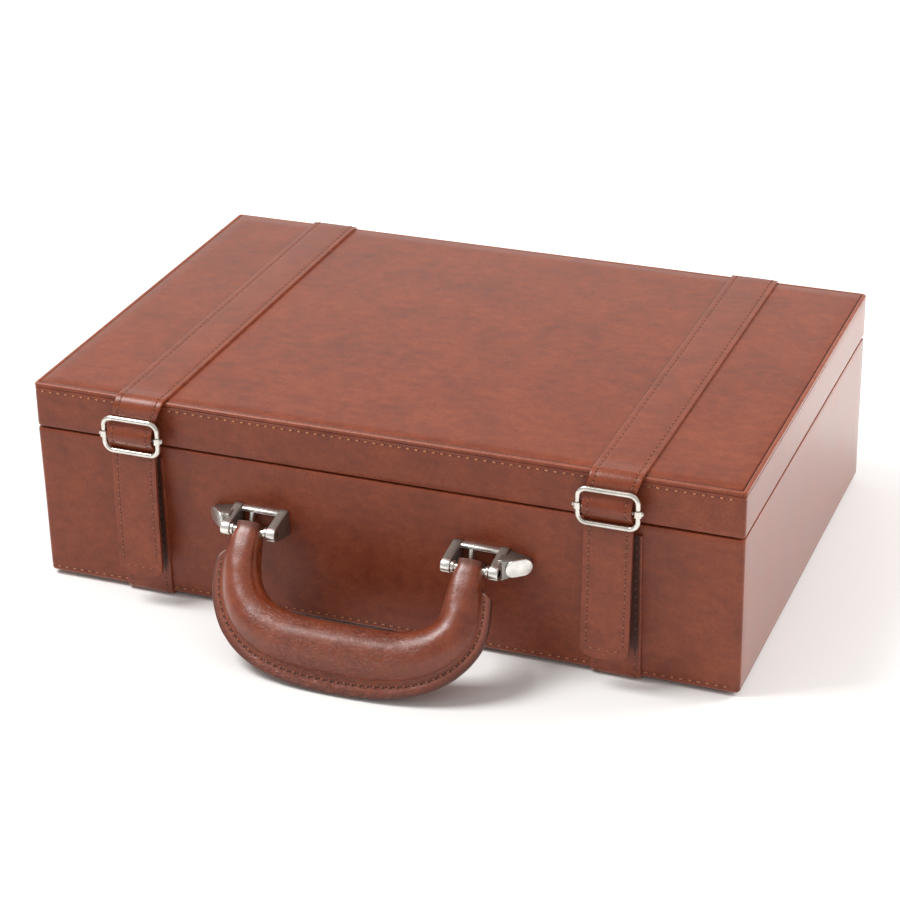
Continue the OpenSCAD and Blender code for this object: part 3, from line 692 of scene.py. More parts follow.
class Strip:
    """A strip of leather along a route of (y, z) points, with its width, thickness and shift."""

    def __init__(self, x, route, half_w, thick, shift=lambda y, z: 0.0, groove_in=3.0, groove_depth=0.22):
        self.x = x
        self.route = route
        self.half_w = half_w
        self.thick = thick
        self.shift = shift
        self.groove_in = groove_in
        self.groove_depth = groove_depth

    def point(self, i, sideways, outwards):
        """A point beside and above the middle line at station i."""
        y, z = self.route[i]
        out = outward(self.route, i)
        return Vector((
            self.x + self.shift(y, z) + sideways, y + out.x * outwards, z + out.y * outwards
        ))

    def solid(self):
        sections = [
            strip_section(self.half_w(i), self.thick(i), self.half_w(i) - self.groove_in, self.groove_depth)
            for i in range(len(self.route))
        ]
        columns = len(sections[0])
        bm = bent_grid(
            columns, len(self.route) - 1,
            lambda column, row: self.point(row, *sections[row][column % columns]),
        )
        close_holes(bm)
        return bm

    def stitch_line(self, side, first, last):
        """Points and ways out along one row of stitches."""
        points = []
        for i in range(first, last):
            row = side * (self.half_w(i) - self.groove_in)
            out = outward(self.route, i)
            height = self.thick(i) / 2 - self.groove_depth * 0.6
            points.append((self.point(i, row, height), Vector((0, out.x, out.y))))
        return points


print("a strip's section has", len(strip_section(13, 1.8, 10, 0.2)), "points")

# %% [markdown]
# ## Stitches
# Every stitch on the case is a real little shape: a short fat thread that sinks at both ends into
# needle holes, each a flat bead painted nearly black as painted shade. There are more than a
# thousand, so each is a sphere of only a few dozen faces, stretched along the seam. They could be
# scattered with geometry nodes, but a loop that walks along a line at an even pitch is simpler to
# read and exports as plain mesh. All the stitches of a seam are one object.

# %% Walk along a seam and sew it
def walk(points, pitch):
    """Places at an even pitch along a line of (point, way out) pairs, with the way along."""
    places = []
    due = pitch / 2
    gone = 0.0
    for (a, out_a), (b, out_b) in zip(points, points[1:]):
        length = (b - a).length
        while due <= gone + length and length > 0:
            share = (due - gone) / length
            out = unit(out_a.lerp(out_b, share))
            places.append((a.lerp(b, share), unit(b - a), out))
            due += pitch
        gone += length
    return places


def bead_mesh():
    """One low-poly sphere of radius 1, which every stitch and needle hole is a copy of."""
    bm = bmesh.new()
    bmesh.ops.create_uvsphere(bm, u_segments=7, v_segments=5, radius=1)
    mesh = bpy.data.meshes.new("bead")
    bm.to_mesh(mesh)
    bm.free()
    return mesh


PITCH = 4.5
BEAD = bead_mesh()
BEAD_HOLE = BEAD.copy()
for face in BEAD_HOLE.polygons:
    face.material_index = 1


def add_bead(bm, centre, along, out, size, pattern):
    """A stretched copy of the little sphere: size is its length, width and height."""
    side = along.cross(out)
    shape = Matrix.Identity(4)
    for column, way in enumerate((side * size[1] / 2, out * size[2] / 2, along * size[0] / 2, centre)):
        for row in range(3):
            shape[row][column] = way[row]
    copy = pattern.copy()
    copy.transform(shape)
    bm.from_mesh(copy)
    bpy.data.meshes.remove(copy)


def sew(bm, points, pitch, length, width=0.75, height=0.5, hole=0.8, lean=0.0):
    """Adds a row of stitches with a needle hole at each end, painted nearly black as painted shade."""
    places = walk(points, pitch)
    for centre, along, out in places:
        way = unit(along + along.cross(out) * lean)
        add_bead(bm, centre, way, out, (length, width, height), BEAD)
        for end in (-0.5, 0.5):
            add_bead(bm, centre + way * end * (length + 0.35), way, out, (hole, hole * 1.1, 0.3), BEAD_HOLE)
    return len(places)


def make_seam(name, bm, thread, body=None):
    bmesh.ops.recalc_face_normals(bm, faces=bm.faces)
    return make_piece(name, bm, [thread, needle_hole_shade], body, crease=180)


print("stitch helpers ready")

# %% Straps on the base
SIDES = {"left": -1, "right": 1}
strap_boxes = {name: (box_mm(f"base_strap_{name}"), box_mm(f"lid_strap_{name}")) for name in SIDES}
BASE_X = {name: (base[0].x + base[1].x) / 2 for name, (base, lid) in strap_boxes.items()}
LID_X = {name: (lid[0].x + lid[1].x) / 2 for name, (base, lid) in strap_boxes.items()}
strap_low, strap_high = strap_boxes["right"][0]
STRAP_HALF = (strap_high.x - strap_low.x) / 2
STRAP_T = -strap_low.z
LET_IN = 0.2
strap_mid = (STRAP_T - LET_IN) / 2
FRONT_END = strap_high.z
BACK_END = max(v.co.z for v in frame["nodes"]["base_strap_right"].data.vertices if v.co.y > 0.1) / MM
corner_y = CASE_D / 2 - EDGE_R
bend_r = EDGE_R + strap_mid

under_route = line((FRONT - strap_mid, FRONT_END), (FRONT - strap_mid, EDGE_R), 4)
under_route += bend((-corner_y, EDGE_R), bend_r, 180, 270, 6)
under_route += line((-corner_y, -strap_mid), (corner_y, -strap_mid), 6)
under_route += bend((corner_y, EDGE_R), bend_r, 270, 360, 6)
under_route += line((BACK + strap_mid, EDGE_R), (BACK + strap_mid, BACK_END), 5)
under_route.append(Vector((BACK + strap_mid, BACK_END)))


seam_bm = bmesh.new()
covered_bm = bmesh.new()
COVERED_FROM = 13
base_stitches = 0
for name, strap_x in BASE_X.items():
    strip = Strip(strap_x, under_route, lambda i: STRAP_HALF, lambda i: STRAP_T + LET_IN)

    def strap_wear_and_shade(co, strap_x=strap_x):
        """Lighter where bent and along its edges; painted shade, nearly black, where the tail always covers it."""
        from_side = STRAP_HALF - abs(co.x - strap_x)
        bent = peak(abs(co.y) - CASE_D / 2, 1.4) * peak(co.z, 2.0)
        # Painted shade: nearly black on the strap's front under the tail, all but its thin edges.
        tail_shade = smooth((co.z - COVERED_FROM) / 5) * smooth((from_side - 0.9) / 0.8) if co.y < FRONT else 0
        return 0.5 * bent + 0.5 * peak(from_side, 0.5) - 0.95 * tail_shade

    make_piece(
        f"base_strap_leather_{name}", strip.solid(), [strap_leather], "base",
        [f"base_strap_{name}"], crease=50, wear=strap_wear_and_shade,
    )
    for edge in (-1, 1):
        points = strip.stitch_line(edge, 0, len(under_route))
        covered = [spot for spot in points if spot[0].z > COVERED_FROM and spot[0].y < FRONT]
        # The stitches under a tail get the nearly black thread: painted shade.
        base_stitches += sew(covered_bm, covered, PITCH, 2.4)
        base_stitches += sew(seam_bm, points[len(covered) - 1:], PITCH, 2.2, width=0.8, hole=0.7)
make_seam("base_strap_stitches_in_painted_shade", covered_bm, painted_shade_thread, "base")
make_seam("base_strap_stitches", seam_bm, brown_thread, "base")
seam_bm = bmesh.new()

# %% Stitches along the front of the base and the lid
def front_row(z, y, gaps):
    """Runs of points along the front, with gaps left for the straps."""
    marks = [-CASE_W / 2 + 3] + [m for gap in gaps for m in gap] + [CASE_W / 2 - 3]
    runs = []
    for start, end in zip(marks[::2], marks[1::2]):
        count = max(2, round((end - start) / 8))
        xs = [start + (end - start) * i / count for i in range(count + 1)]
        runs.append([(Vector((x, y - hide_wave(x, FRONT, z), z)), Vector((0, -1, 0))) for x in xs])
    return runs


base_gaps = [(x - STRAP_HALF, x + STRAP_HALF) for x in BASE_X.values()]
lid_gaps = [(x - STRAP_HALF, x + STRAP_HALF) for x in LID_X.values()]
for run in front_row(STITCH_ROW, FRONT + 0.12, base_gaps):
    base_stitches += sew(seam_bm, run, PITCH, 2.3, width=0.8, height=0.55)
make_seam("base_stitches", seam_bm, orange_thread, "base")
print("stitches on the base:", base_stitches)

lid_seam_bm = bmesh.new()
lid_stitches = 0
for run in front_row(lid_row_z, FRONT + 0.08, lid_gaps):
    lid_stitches += sew(lid_seam_bm, run, PITCH, 2.1, width=1.0, height=0.75, hole=0.7)
make_seam("lid_stitches", lid_seam_bm, orange_thread, "lid")
print("stitches on the lid:", lid_stitches)

# %% [markdown]
# ## The long strap and its tail
# The route behind the buckle follows the same rule as the CAD tail, so that the magnet and the
# buckle's bar stay inside the leather. The real straps don't hang true: each tail drifts a few
# millimetres to one side as it goes through its buckle, and curls away from the case towards its
# end.

# %% Route of the long strap
fold = joint_point("tail_right_fold")
FOLD_R = 6.0
FOLD_T = 1.6
TAIL_T = 2.4
WINDOW = 9.4
FLARE = 6.6
WIRE_R = 1.4
BAR_R = 1.1
PLAY = 0.12
LID_BACK_END = box_mm("lid_strap_right")[0].z


def tail_facts(name):
    """Where one tail's buckle is, and how low the tail hangs."""
    frame_low, frame_high = box_mm(f"buckle_frame_{name}")
    tail_low, tail_high = box_mm(f"strap_tail_{name}")
    middle = (frame_low + frame_high) / 2
    return middle, tail_low.z, (tail_high.x - tail_low.x) / 2


def tail_out(z, middle, tail_z):
    """Distance of the tail's middle line from the case's front."""
    stand_off = FRONT - middle.y
    behind_wire = stand_off - WIRE_R - FOLD_T / 2 - PLAY
    over_bar = BAR_R + FOLD_T / 2 + PLAY + stand_off - behind_wire
    low, high = middle.z - WINDOW, middle.z + WINDOW
    if z > high:
        share = min(1, max(0, (fold.z - FOLD_R - z) / (fold.z - FOLD_R - high)))
        return (FRONT - fold.y + FOLD_R) * (1 - share) + behind_wire * share
    if z > low:
        hump = (1 - cos(2 * pi * (z - low) / (high - low))) / 2
        return behind_wire + over_bar * hump ** 1.2
    return behind_wire + FLARE * (low - z) / (low - tail_z)


def long_route(middle, tail_z):
    lid_mid = LID_TOP + strap_mid
    route = line((BACK + strap_mid, LID_BACK_END), (BACK + strap_mid, LID_TOP - EDGE_R), 4)
    route += bend((corner_y, LID_TOP - EDGE_R), bend_r, 0, 90, 6)
    route += line((corner_y, lid_mid), (fold.y + 7, lid_mid), 5)
    route += line((fold.y + 7, lid_mid), (fold.y, fold.z), 1.4)
    route += bend((fold.y, fold.z - FOLD_R), FOLD_R, 90, 180, 9)
    top = fold.z - FOLD_R
    count = round((top - tail_z) / 1.25)
    for i in range(count + 1):
        z = top + (tail_z - top) * i / count
        route.append(Vector((FRONT - tail_out(z, middle, tail_z), z)))
    return route


print("fold axis at y, z =", round(fold.y, 1), round(fold.z, 1))

# %% Make the long straps and sew them
TAIL_CORNER = 6.0
SWING_BACK = {"left": 0.7, "right": 0.1}


def high_on_lid(y, z):
    """True for the part of a route behind the front edge, from just above the lid's rim."""
    return y > FRONT - 2 and z > 90


def blend_over_fold(piece):
    """Bakes a piece's transform into its mesh."""
    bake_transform(piece)


for name, side in SIDES.items():
    middle, tail_z, tail_half = tail_facts(name)
    x = LID_X[name]
    drift = middle.x - x
    route = long_route(middle, tail_z)

    def shift(y, z, drift=drift, middle=middle, swing_back=SWING_BACK[name]):
        """Nothing on the lid, all of the drift at the buckle, and some of it back at the end."""
        if y > FRONT - 1 and z > middle.z + 8:
            return 0.0
        to_buckle = smooth((fold.z - z) / (fold.z - middle.z - 4))
        return drift * (to_buckle - swing_back * smooth((middle.z - WINDOW - z) / 80))

    def half_w(i, route=route, tail_z=tail_z, tail_half=tail_half):
        y, z = route[i]
        if high_on_lid(y, z):
            return STRAP_HALF
        half = STRAP_HALF + (tail_half - STRAP_HALF) * smooth((fold.z - z) / 12)
        from_end = z - tail_z
        if from_end < TAIL_CORNER:
            half -= TAIL_CORNER - sqrt(max(0, TAIL_CORNER ** 2 - (TAIL_CORNER - from_end) ** 2))
        return half

    def thick(i, route=route, middle=middle):
        y, z = route[i]
        if high_on_lid(y, z):
            return STRAP_T + LET_IN - LET_IN * smooth((fold.y + 6 - y) / 6)
        return FOLD_T + (TAIL_T - FOLD_T) * smooth((middle.z - WINDOW - z) / 4)

    strip = Strip(x, route, half_w, thick, shift)

    def long_wear_and_shade(co, x=x, tail_z=tail_z, middle=middle):
        edge = peak(STRAP_HALF - abs(co.x - x), 0.5) if co.y > FRONT else 0
        bent = peak(co.y - fold.y + 3, 3.5) * peak(co.z - fold.z, 4)
        below = co.z < middle.z - WINDOW - 3
        # Painted shade: the back of each tail below its buckle is coloured nearly black.
        tail_back_shade = below and co.y > FRONT - tail_out(co.z, middle, tail_z) + 0.55
        return -1.0 if tail_back_shade else 0.35 * bent + 0.4 * edge

    strap = make_piece(
        f"long_strap_{name}", strip.solid(), [strap_leather], None,
        [f"lid_strap_{name}", f"strap_tail_{name}"], crease=50, wear=long_wear_and_shade,
    )
    blend_over_fold(strap)
    seam = bmesh.new()
    last = len(route) - 5
    count = 0
    for edge in (-1, 1):
        count += sew(seam, strip.stitch_line(edge, 0, last), PITCH, 2.2, width=0.8, hole=0.75)
    end_out = Vector((0, outward(route, last).x, outward(route, last).y))
    end_row = strip.half_w(last) - 3.4
    height = TAIL_T / 2 - 0.1
    across = [(strip.point(last, end_row * s / 4, height), end_out) for s in range(-4, 5)]
    count += sew(seam, across, 4.3, 2.3)
    stitches = make_seam(f"long_strap_stitches_{name}", seam, brown_thread)
    blend_over_fold(stitches)
    print(f"{name} strap: drift {drift:.1f} mm, {count} stitches")

# %% [markdown]
# ## The handle
# The handle is a roll of leather round a padded steel band. Its two edges are sewn together on the
# outside of the curve, where they make a flat rim with a row of stitches. A curve object could give
# the roll, but not the rim. So a grid is wrapped round a squared-off ellipse: its cross-section is
# a round that swells towards the middle of the grip, with the rim drawn out of its outer side. Fine
# noise along the surface gives the slack, wrinkled look of leather that has been gripped for years.

# %% The handle's middle line
pin_boxes = {name: box_mm(f"handle_pin_{name}") for name in SIDES}
pin_mid = {name: (low + high) / 2 for name, (low, high) in pin_boxes.items()}
PIN = Vector((0, pin_mid["left"].y, pin_mid["left"].z))
HANDLE_X = (pin_mid["left"].x + pin_mid["right"].x) / 2
HANDLE_HALF = (pin_mid["right"].x - pin_mid["left"].x) / 2
GRIP_DROP = 51.0
GRIP_R = 12.5
END_HALF = 6.4
RIM_W = 9.5
RIM_HALF_T = 1.5
RIM_END_W = 5.0
CURVE = 2 / 3.2
LEAN = -HANDLE_X
BULGE = 1.8
OVERRUN = 4.0
reach = GRIP_DROP + GRIP_R + RIM_W
TILT = pi / 2 - atan2(PIN.z + STRAP_T, sqrt(reach ** 2 + RIM_HALF_T ** 2 - (PIN.z + STRAP_T) ** 2))
TILT += atan2(RIM_HALF_T, reach)


def handle_to_case(x, side, down):
    """From the handle's own plane to the case: side is towards the case, down along the drop."""
    y = PIN.y + side * cos(TILT) - down * sin(TILT)
    z = PIN.z - side * sin(TILT) - down * cos(TILT)
    return Vector((x, y, z))


def grip_line(q, side):
    """The middle line, q from 0 at a pin to 1 at the middle of the grip."""
    ease = smooth(q / 0.4)
    half = (HANDLE_HALF + BULGE * ease) * max(0, cos(pi / 2 * max(q, 0))) ** CURVE
    down = GRIP_DROP * sin(pi / 2 * max(q, 0)) ** CURVE if q > 0 else -OVERRUN * min(1, -q)
    return Vector((HANDLE_X + LEAN * ease + side * half, down))


HALF_STEPS = 64
qs = [-1.0, -0.97, -0.9, -0.5] + [(i / HALF_STEPS) ** 1.5 for i in range(HALF_STEPS + 1)]
grip_stations = [(q, -1) for q in qs] + [(q, 1) for q in reversed(qs[:-1])]
grip_points = [grip_line(q, side) for q, side in grip_stations]
print(f"handle tilt {TILT * 180 / pi:.1f} degrees, {len(grip_points)} stations")

# %% The handle's cross-section
TUBE_STEPS = 52


def grip_out(i):
    """The way out of the curve at a station, in the handle's plane."""
    along = unit(grip_points[min(i + 1, len(grip_points) - 1)] - grip_points[max(i - 1, 0)])
    return Vector((-along.y, along.x))


def grip_swell(q):
    """How far the grip has swollen, from 0 at its ends to 1 in the middle."""
    return max(0, q) ** 0.4


def grip_half(q):
    return END_HALF + (GRIP_R - END_HALF) * grip_swell(q)


def rim_width(q):
    return (RIM_END_W + (RIM_W - RIM_END_W) * max(q, 0)) * smooth((q - 0.035) / 0.05)


def grip_section(i):
    """(outwards, towards the case) points of a section."""
    q, side = grip_stations[i]
    swell = grip_swell(q)
    wide = grip_half(q)
    deep = 6.0 + (GRIP_R - 6.5) * swell
    if q < -0.98:
        wide, deep = wide - 0.4, deep - 0.4
    square = 0.62 + 0.38 * smooth(q / 0.22)
    rim = rim_width(q)
    spread = 0.28 * smooth(rim / 3)
    points = []
    for k in range(TUBE_STEPS + 1):
        a = spread + (2 * pi - 2 * spread) * k / TUBE_STEPS
        pull = 1 + 0.07 * smooth(rim / 4) * peak(min(a, 2 * pi - a) - spread, 0.25)
        fold_at = peak(a - 3.75, 0.13) * smooth(q / 0.05) * smooth((0.55 - q) / 0.2)
        r = pull - 0.055 * fold_at
        fuller = 0.07 * swell if cos(a) < 0 else 0
        flat_cos = (1 if cos(a) > 0 else -1) * abs(cos(a)) ** square * (1 + fuller)
        flat_sin = (1 if sin(a) > 0 else -1) * abs(sin(a)) ** square
        points.append((wide * flat_cos * r, deep * flat_sin * r))
    flat = min(RIM_HALF_T, deep * sin(spread))
    start = wide * cos(spread)
    rim_top = [
        (0.18, 1.15), (0.3, 0.98), (0.42, 0.86), (0.6, 1.0),
        (0.93, 0.98), (1.0, 0.8), (1.015, 0.35), (0.985, 0),
    ]
    outer = [(start + (rim + wide - start) * u, flat * h) for u, h in rim_top]
    lower = [(x, -h) for x, h in reversed(outer[:-1])]
    return points[::-1] + outer + lower


def grip_surface(column, row, sections):
    x_out, x_side = sections[row][column % len(sections[row])]
    out = grip_out(row)
    centre = grip_points[row]
    point = handle_to_case(centre.x + out.x * x_out, x_side, centre.y + out.y * x_out)
    slack = noise.noise(point / 7) * 0.16 + noise.noise(point / 2.6) * 0.05
    way = point - handle_to_case(centre.x, 0, centre.y)
    return point + unit(way) * slack


sections = [grip_section(i) for i in range(len(grip_points))]
grip_bm = bent_grid(len(sections[0]), len(grip_points) - 1, lambda c, r: grip_surface(c, r, sections))
close_holes(grip_bm)


def rim_wear(co):
    """Dark and rough along the cut edge of the rim."""
    local_y = co.y - PIN.y
    local_z = co.z - PIN.z
    side = local_y * cos(TILT) - local_z * sin(TILT)
    down = -local_y * sin(TILT) - local_z * cos(TILT)
    nearest = min(range(0, len(grip_points), 2), key=lambda i: (grip_points[i] - Vector((co.x, down))).length)
    q = grip_stations[nearest][0]
    if q < -0.85:
        return -0.5
    edge = grip_half(q) + rim_width(q)
    away = edge - (grip_points[nearest] - Vector((co.x, down))).length
    return -0.75 * peak(away, 0.8) if abs(side) < 2 and q > 0.04 else 0.0


handle_leather = make_piece(
    "handle_leather", grip_bm, [grip_leather], "handle", ["handle_cover"], crease=70, wear=rim_wear
)

# %% Sew the handle's rim
rim_bm = bmesh.new()
rim_stitches = 0
for face in (-1, 1):
    seam_points = []
    for i, (q, side) in enumerate(grip_stations):
        if q > 0.09:
            row = grip_half(q) + 0.36 * rim_width(q)
            spot = grip_points[i] + grip_out(i) * row
            here = handle_to_case(spot.x, face * 1.28, spot.y)
            way_out = handle_to_case(0, face, 0) - handle_to_case(0, 0, 0)
            seam_points.append((here, way_out))
    rim_stitches += sew(rim_bm, seam_points, 3.9, 1.9, width=1.0, height=0.9, hole=1.9, lean=0.35)
make_seam("handle_stitches", rim_bm, brown_thread, "handle")
print("stitches on the handle:", rim_stitches)

# %% [markdown]
# ## The cast brackets
# Each bracket is one zinc casting with nickel on it: two arms that hold the pin, a bar over and
# under the window between them, a small rib in it, and a wing towards the side of the case with an
# oval pad on its sloping face. Castings have no sharp corners, so every block here is an extruded
# outline whose edges are all bevelled. Booleans could weld the blocks into one skin, but bevels on
# a boolean result often break, and overlapping rounded blocks read the same.

# %% Blocks for the brackets
def rounded_block(outline, start, end, axis, round_mm, segments=2):
    """Extrudes an outline of 2D points along an axis and rounds all its edges."""
    bm = bmesh.new()
    other = [k for k in range(3) if k != axis]
    circle = bmesh.ops.create_circle(bm, segments=len(outline), radius=1, cap_ends=True)
    for vert, (u, v) in zip(circle["verts"], outline):
        vert.co[axis], vert.co[other[0]], vert.co[other[1]] = start, u, v
    made = bmesh.ops.extrude_face_region(bm, geom=bm.faces[:])["geom"]
    step = [0, 0, 0]
    step[axis] = end - start
    bmesh.ops.translate(bm, vec=step, verts=[g for g in made if isinstance(g, bmesh.types.BMVert)])
    bmesh.ops.recalc_face_normals(bm, faces=bm.faces)
    bmesh.ops.bevel(
        bm, geom=bm.edges[:], offset=round_mm, segments=segments, profile=0.5,
        affect="EDGES", material=-1, clamp_overlap=True,
    )
    return bm


def oval(length, height, steps=10):
    """A stadium: straight sides and half-round ends."""
    r = height / 2
    reach = length / 2 - r
    right = [(reach + r * cos(a), r * sin(a)) for a in [pi * (i / steps - 0.5) for i in range(steps + 1)]]
    return right + [(-x, -y) for x, y in right]


print("oval pad outline:", len(oval(14, 9)), "points")

# %% Build the brackets
CHEEK = 12.5
CHEEK_HALF = 2.5
BOSS_R = 3.6
plate_low = PIN.z - 8
plate_high = PIN.z + 6.5
window_top = PIN.z + 3.6
WING = 26.5
WING_RISE = FRONT - PIN.y - 3.5
WING_TAPER = 0.45
TAPER_FROM = 18
OVAL_LONG, OVAL_HIGH, OVAL_THICK = 14.5, 9.4, 1.7
PLATE = 3.0


def boss_outline():
    """A cheek seen from its side: an arm from the plate to a round boss over the pin."""
    angles = [radians(100 + 20 * i) for i in range(9)]
    boss = [(PIN.y + BOSS_R * cos(a), PIN.z + BOSS_R * sin(a)) for a in angles]
    arm = [(FRONT, plate_low), (FRONT, plate_high), (FRONT - PLATE, plate_high - 0.6)]
    return arm + boss + [(FRONT - 6, plate_low + 1.5)]


def bracket(side):
    """One bracket, drawn round its own middle."""
    bm = bmesh.new()
    for s in (-1, 1):
        absorb(bm, rounded_block(boss_outline(), s * CHEEK - CHEEK_HALF, s * CHEEK + CHEEK_HALF, 0, 0.55, 3))
    bar = [
        (FRONT, window_top), (FRONT, plate_high - 0.5),
        (FRONT - 3.2, plate_high - 1.2), (FRONT - 3.6, window_top),
    ]
    absorb(bm, rounded_block(bar, -CHEEK, CHEEK, 0, 0.35))
    foot_top = plate_low + 2.5
    foot_bar = [
        (FRONT, plate_low), (FRONT, foot_top), (FRONT - PLATE, foot_top), (FRONT - PLATE, plate_low),
    ]
    absorb(bm, rounded_block(foot_bar, -CHEEK, CHEEK, 0, 0.35))
    wing = [
        (CHEEK, FRONT), (WING, FRONT), (WING, FRONT - PLATE),
        (CHEEK + CHEEK_HALF, FRONT - WING_RISE), (CHEEK, FRONT - WING_RISE),
    ]
    wing_bm = rounded_block(wing, plate_low + 2.2, plate_high - 1.1, 2, 0.7, 3)
    for v in wing_bm.verts:
        narrowing = 1 - WING_TAPER * smooth((v.co.x - TAPER_FROM) / (WING - TAPER_FROM))
        v.co.z = PIN.z + (v.co.z - PIN.z) * narrowing
    absorb(bm, wing_bm)
    # Faces nearer the case than the pin, except on the bar, get the darker nickel: painted shade in its colour.
    for face in bm.faces:
        middle = face.calc_center_median()
        on_bar = middle.z > window_top and abs(middle.x) < CHEEK - CHEEK_HALF
        face.material_index = 1 if middle.y > PIN.y + 0.8 and not on_bar else 0
    slope = atan2(WING_RISE - PLATE, WING - CHEEK - CHEEK_HALF)
    pad = rounded_block(oval(OVAL_LONG, OVAL_HIGH), -OVAL_THICK, 0, 1, 0.5, 3)
    absorb(
        bm, pad,
        Matrix.Translation((WING, FRONT - PLATE, PIN.z))
        @ Matrix.Rotation(slope, 4, "Z") @ Matrix.Translation((1 - OVAL_LONG / 2, 0.5, 0)),
    )
    if side < 0:
        bmesh.ops.scale(bm, vec=(-1, 1, 1), verts=bm.verts)
        bmesh.ops.recalc_face_normals(bm, faces=bm.faces)
    rib_top = window_top + 0.4
    rib = [
        (FRONT, plate_low + 1), (FRONT, rib_top), (FRONT - 3.3, rib_top), (FRONT - 7, plate_low + 1),
    ]
    absorb(bm, rounded_block(rib, -5.5, -3.5, 0, 0.3))
    return bm


for name, side in SIDES.items():
    shape = bracket(side)
    bmesh.ops.translate(shape, vec=(pin_mid[name].x, 0, 0), verts=shape.verts)
    make_piece(
        f"bracket_{name}", shape, [bright_nickel, satin_nickel_painted_shade], "base",
        [f"handle_bracket_{name}"], crease=60,
    )

# %% [markdown]
# ## The quilted pad in the lid
# The pad is velvet over thin foam, sewn to its backing in squares. Pressing the squares in by hand
# would look like tiles. Cloth simulation gives the real shape: a flat closed bag is held along its
# seams and at its backing, and pressure from inside blows every square up, so that the cloth
# tightens and puckers by itself. It runs for twenty frames with gravity off. Its result is then
# applied, so that no simulation is left in the finished piece.

# %% Sew and fill the pad
pad_low, pad_high = box_mm("lid_pad")
PAD_SQUARE = 39.0
pad_w = pad_high.x - pad_low.x - 2
pad_d = pad_high.y - pad_low.y - 2
squares_x = round(pad_w / PAD_SQUARE)
squares_y = round(pad_d / PAD_SQUARE)
PER_SQUARE = 7
PAD_THIN = 1.2
pad_columns = squares_x * PER_SQUARE
pad_rows = squares_y * PER_SQUARE
pad_bm = bent_grid(
    pad_columns, pad_rows,
    lambda c, r: ((c / pad_columns - 0.5) * pad_w, (r / pad_rows - 0.5) * pad_d, pad_high.z - PAD_THIN),
)
made = bmesh.ops.extrude_face_region(pad_bm, geom=pad_bm.faces[:])["geom"]
backing = [g for g in made if isinstance(g, bmesh.types.BMVert)]
bmesh.ops.translate(pad_bm, vec=(0, 0, PAD_THIN), verts=backing)
bmesh.ops.recalc_face_normals(pad_bm, faces=pad_bm.faces)
lid_pad = make_piece("quilted_pad", pad_bm, [quilt_cloth], "lid", ["lid_pad"], crease=180)


def is_seam(co):
    """True on the backing, on the border and on the lines between squares."""
    column = (co.x / MM / pad_w + 0.5) * pad_columns
    row = (co.y / MM / pad_d + 0.5) * pad_rows
    on_line = min(abs(column % PER_SQUARE), abs(row % PER_SQUARE)) < 0.01
    near_line = max(column % PER_SQUARE, row % PER_SQUARE) > PER_SQUARE - 0.01
    return on_line or near_line or co.z > (pad_high.z - 0.1) * MM


def blow_up(piece, pressure, frames, cap_mm):
    """Fills a closed cloth with pressure, caps how far its points go, and applies the result."""
    held = piece.vertex_groups.new(name="held")
    held.add([v.index for v in piece.data.vertices if is_seam(v.co)], 1.0, "REPLACE")
    before = [v.co.copy() for v in piece.data.vertices]
    cloth_mod = piece.modifiers.new("Cloth", "CLOTH")
    settings = cloth_mod.settings
    settings.vertex_group_mass = "held"
    settings.use_pressure = True
    settings.uniform_pressure_force = pressure
    settings.tension_stiffness = 6
    settings.shrink_min = -0.04
    settings.effector_weights.gravity = 0
    cloth_mod.point_cache.frame_start = 1
    cloth_mod.point_cache.frame_end = frames
    scene = bpy.context.scene
    for f in range(1, frames + 1):
        scene.frame_set(f)
    result = piece.evaluated_get(bpy.context.evaluated_depsgraph_get())
    after = [v.co.copy() for v in result.data.vertices]
    piece.modifiers.remove(cloth_mod)
    piece.vertex_groups.remove(held)
    furthest = 0.0
    for v, old, new in zip(piece.data.vertices, before, after):
        step = new - old
        if step.length > cap_mm * MM:
            step *= cap_mm * MM / step.length
        v.co = old + step
        furthest = max(furthest, step.length)
    scene.frame_set(1)
    return furthest / MM


swelled = blow_up(lid_pad, 2.0, 20, 2.4)
print(f"the pad swelled by up to {swelled:.2f} mm")
lid_pad.data.update()
add_modifier(lid_pad, "SUBSURF", levels=1, render_levels=1)

# %% [markdown]
# ## Ribbon pulls
# Two ribbons lift the upper tray. Each is a strip of satin that comes up inside the tray's rim,
# folds over and goes down again, glued at both ends. It is one surface bent by a rule, with a
# Solidify modifier for its thickness, which is simpler than modelling a thin box.

# %% Fold the ribbons
tab_low, tab_high = box_mm("tray_pull_tabs")
RIBBON_W = 20.0
RIBBON_STEPS = 28
for name, side in SIDES.items():
    wall_x = side * (tab_high.x - 0.3)
    rise = tab_high.z - tab_low.z
    fold_r = 1.1
    half_length = rise - fold_r
    full = 2 * half_length + pi * fold_r

    def ribbon_point(column, row, wall_x=wall_x, side=side):
        """Up one leg, round the fold and down the other."""
        y = (column / 8 - 0.5) * RIBBON_W
        s = full * row / RIBBON_STEPS
        if s < half_length:
            inwards, z = 0.0, tab_low.z + s
        elif s > half_length + pi * fold_r:
            inwards, z = 2 * fold_r, tab_low.z + full - s
        else:
            a = (s - half_length) / fold_r
            inwards, z = fold_r - fold_r * cos(a), tab_low.z + half_length + fold_r * sin(a)
        curl = 0.5 * sin(pi * (z - tab_low.z) / rise) * (y / RIBBON_W) ** 2
        return Vector((wall_x - side * (inwards + curl), y, z))

    ribbon_bm = bent_grid(8, RIBBON_STEPS, ribbon_point)
    ribbon = make_piece(
        f"pull_ribbon_{name}", ribbon_bm, [ribbon_cloth], "tray",
        ["tray_pull_tabs"] if name == "left" else [], crease=180,
    )
    add_modifier(ribbon, "SOLIDIFY", thickness=0.35 * MM, offset=0)

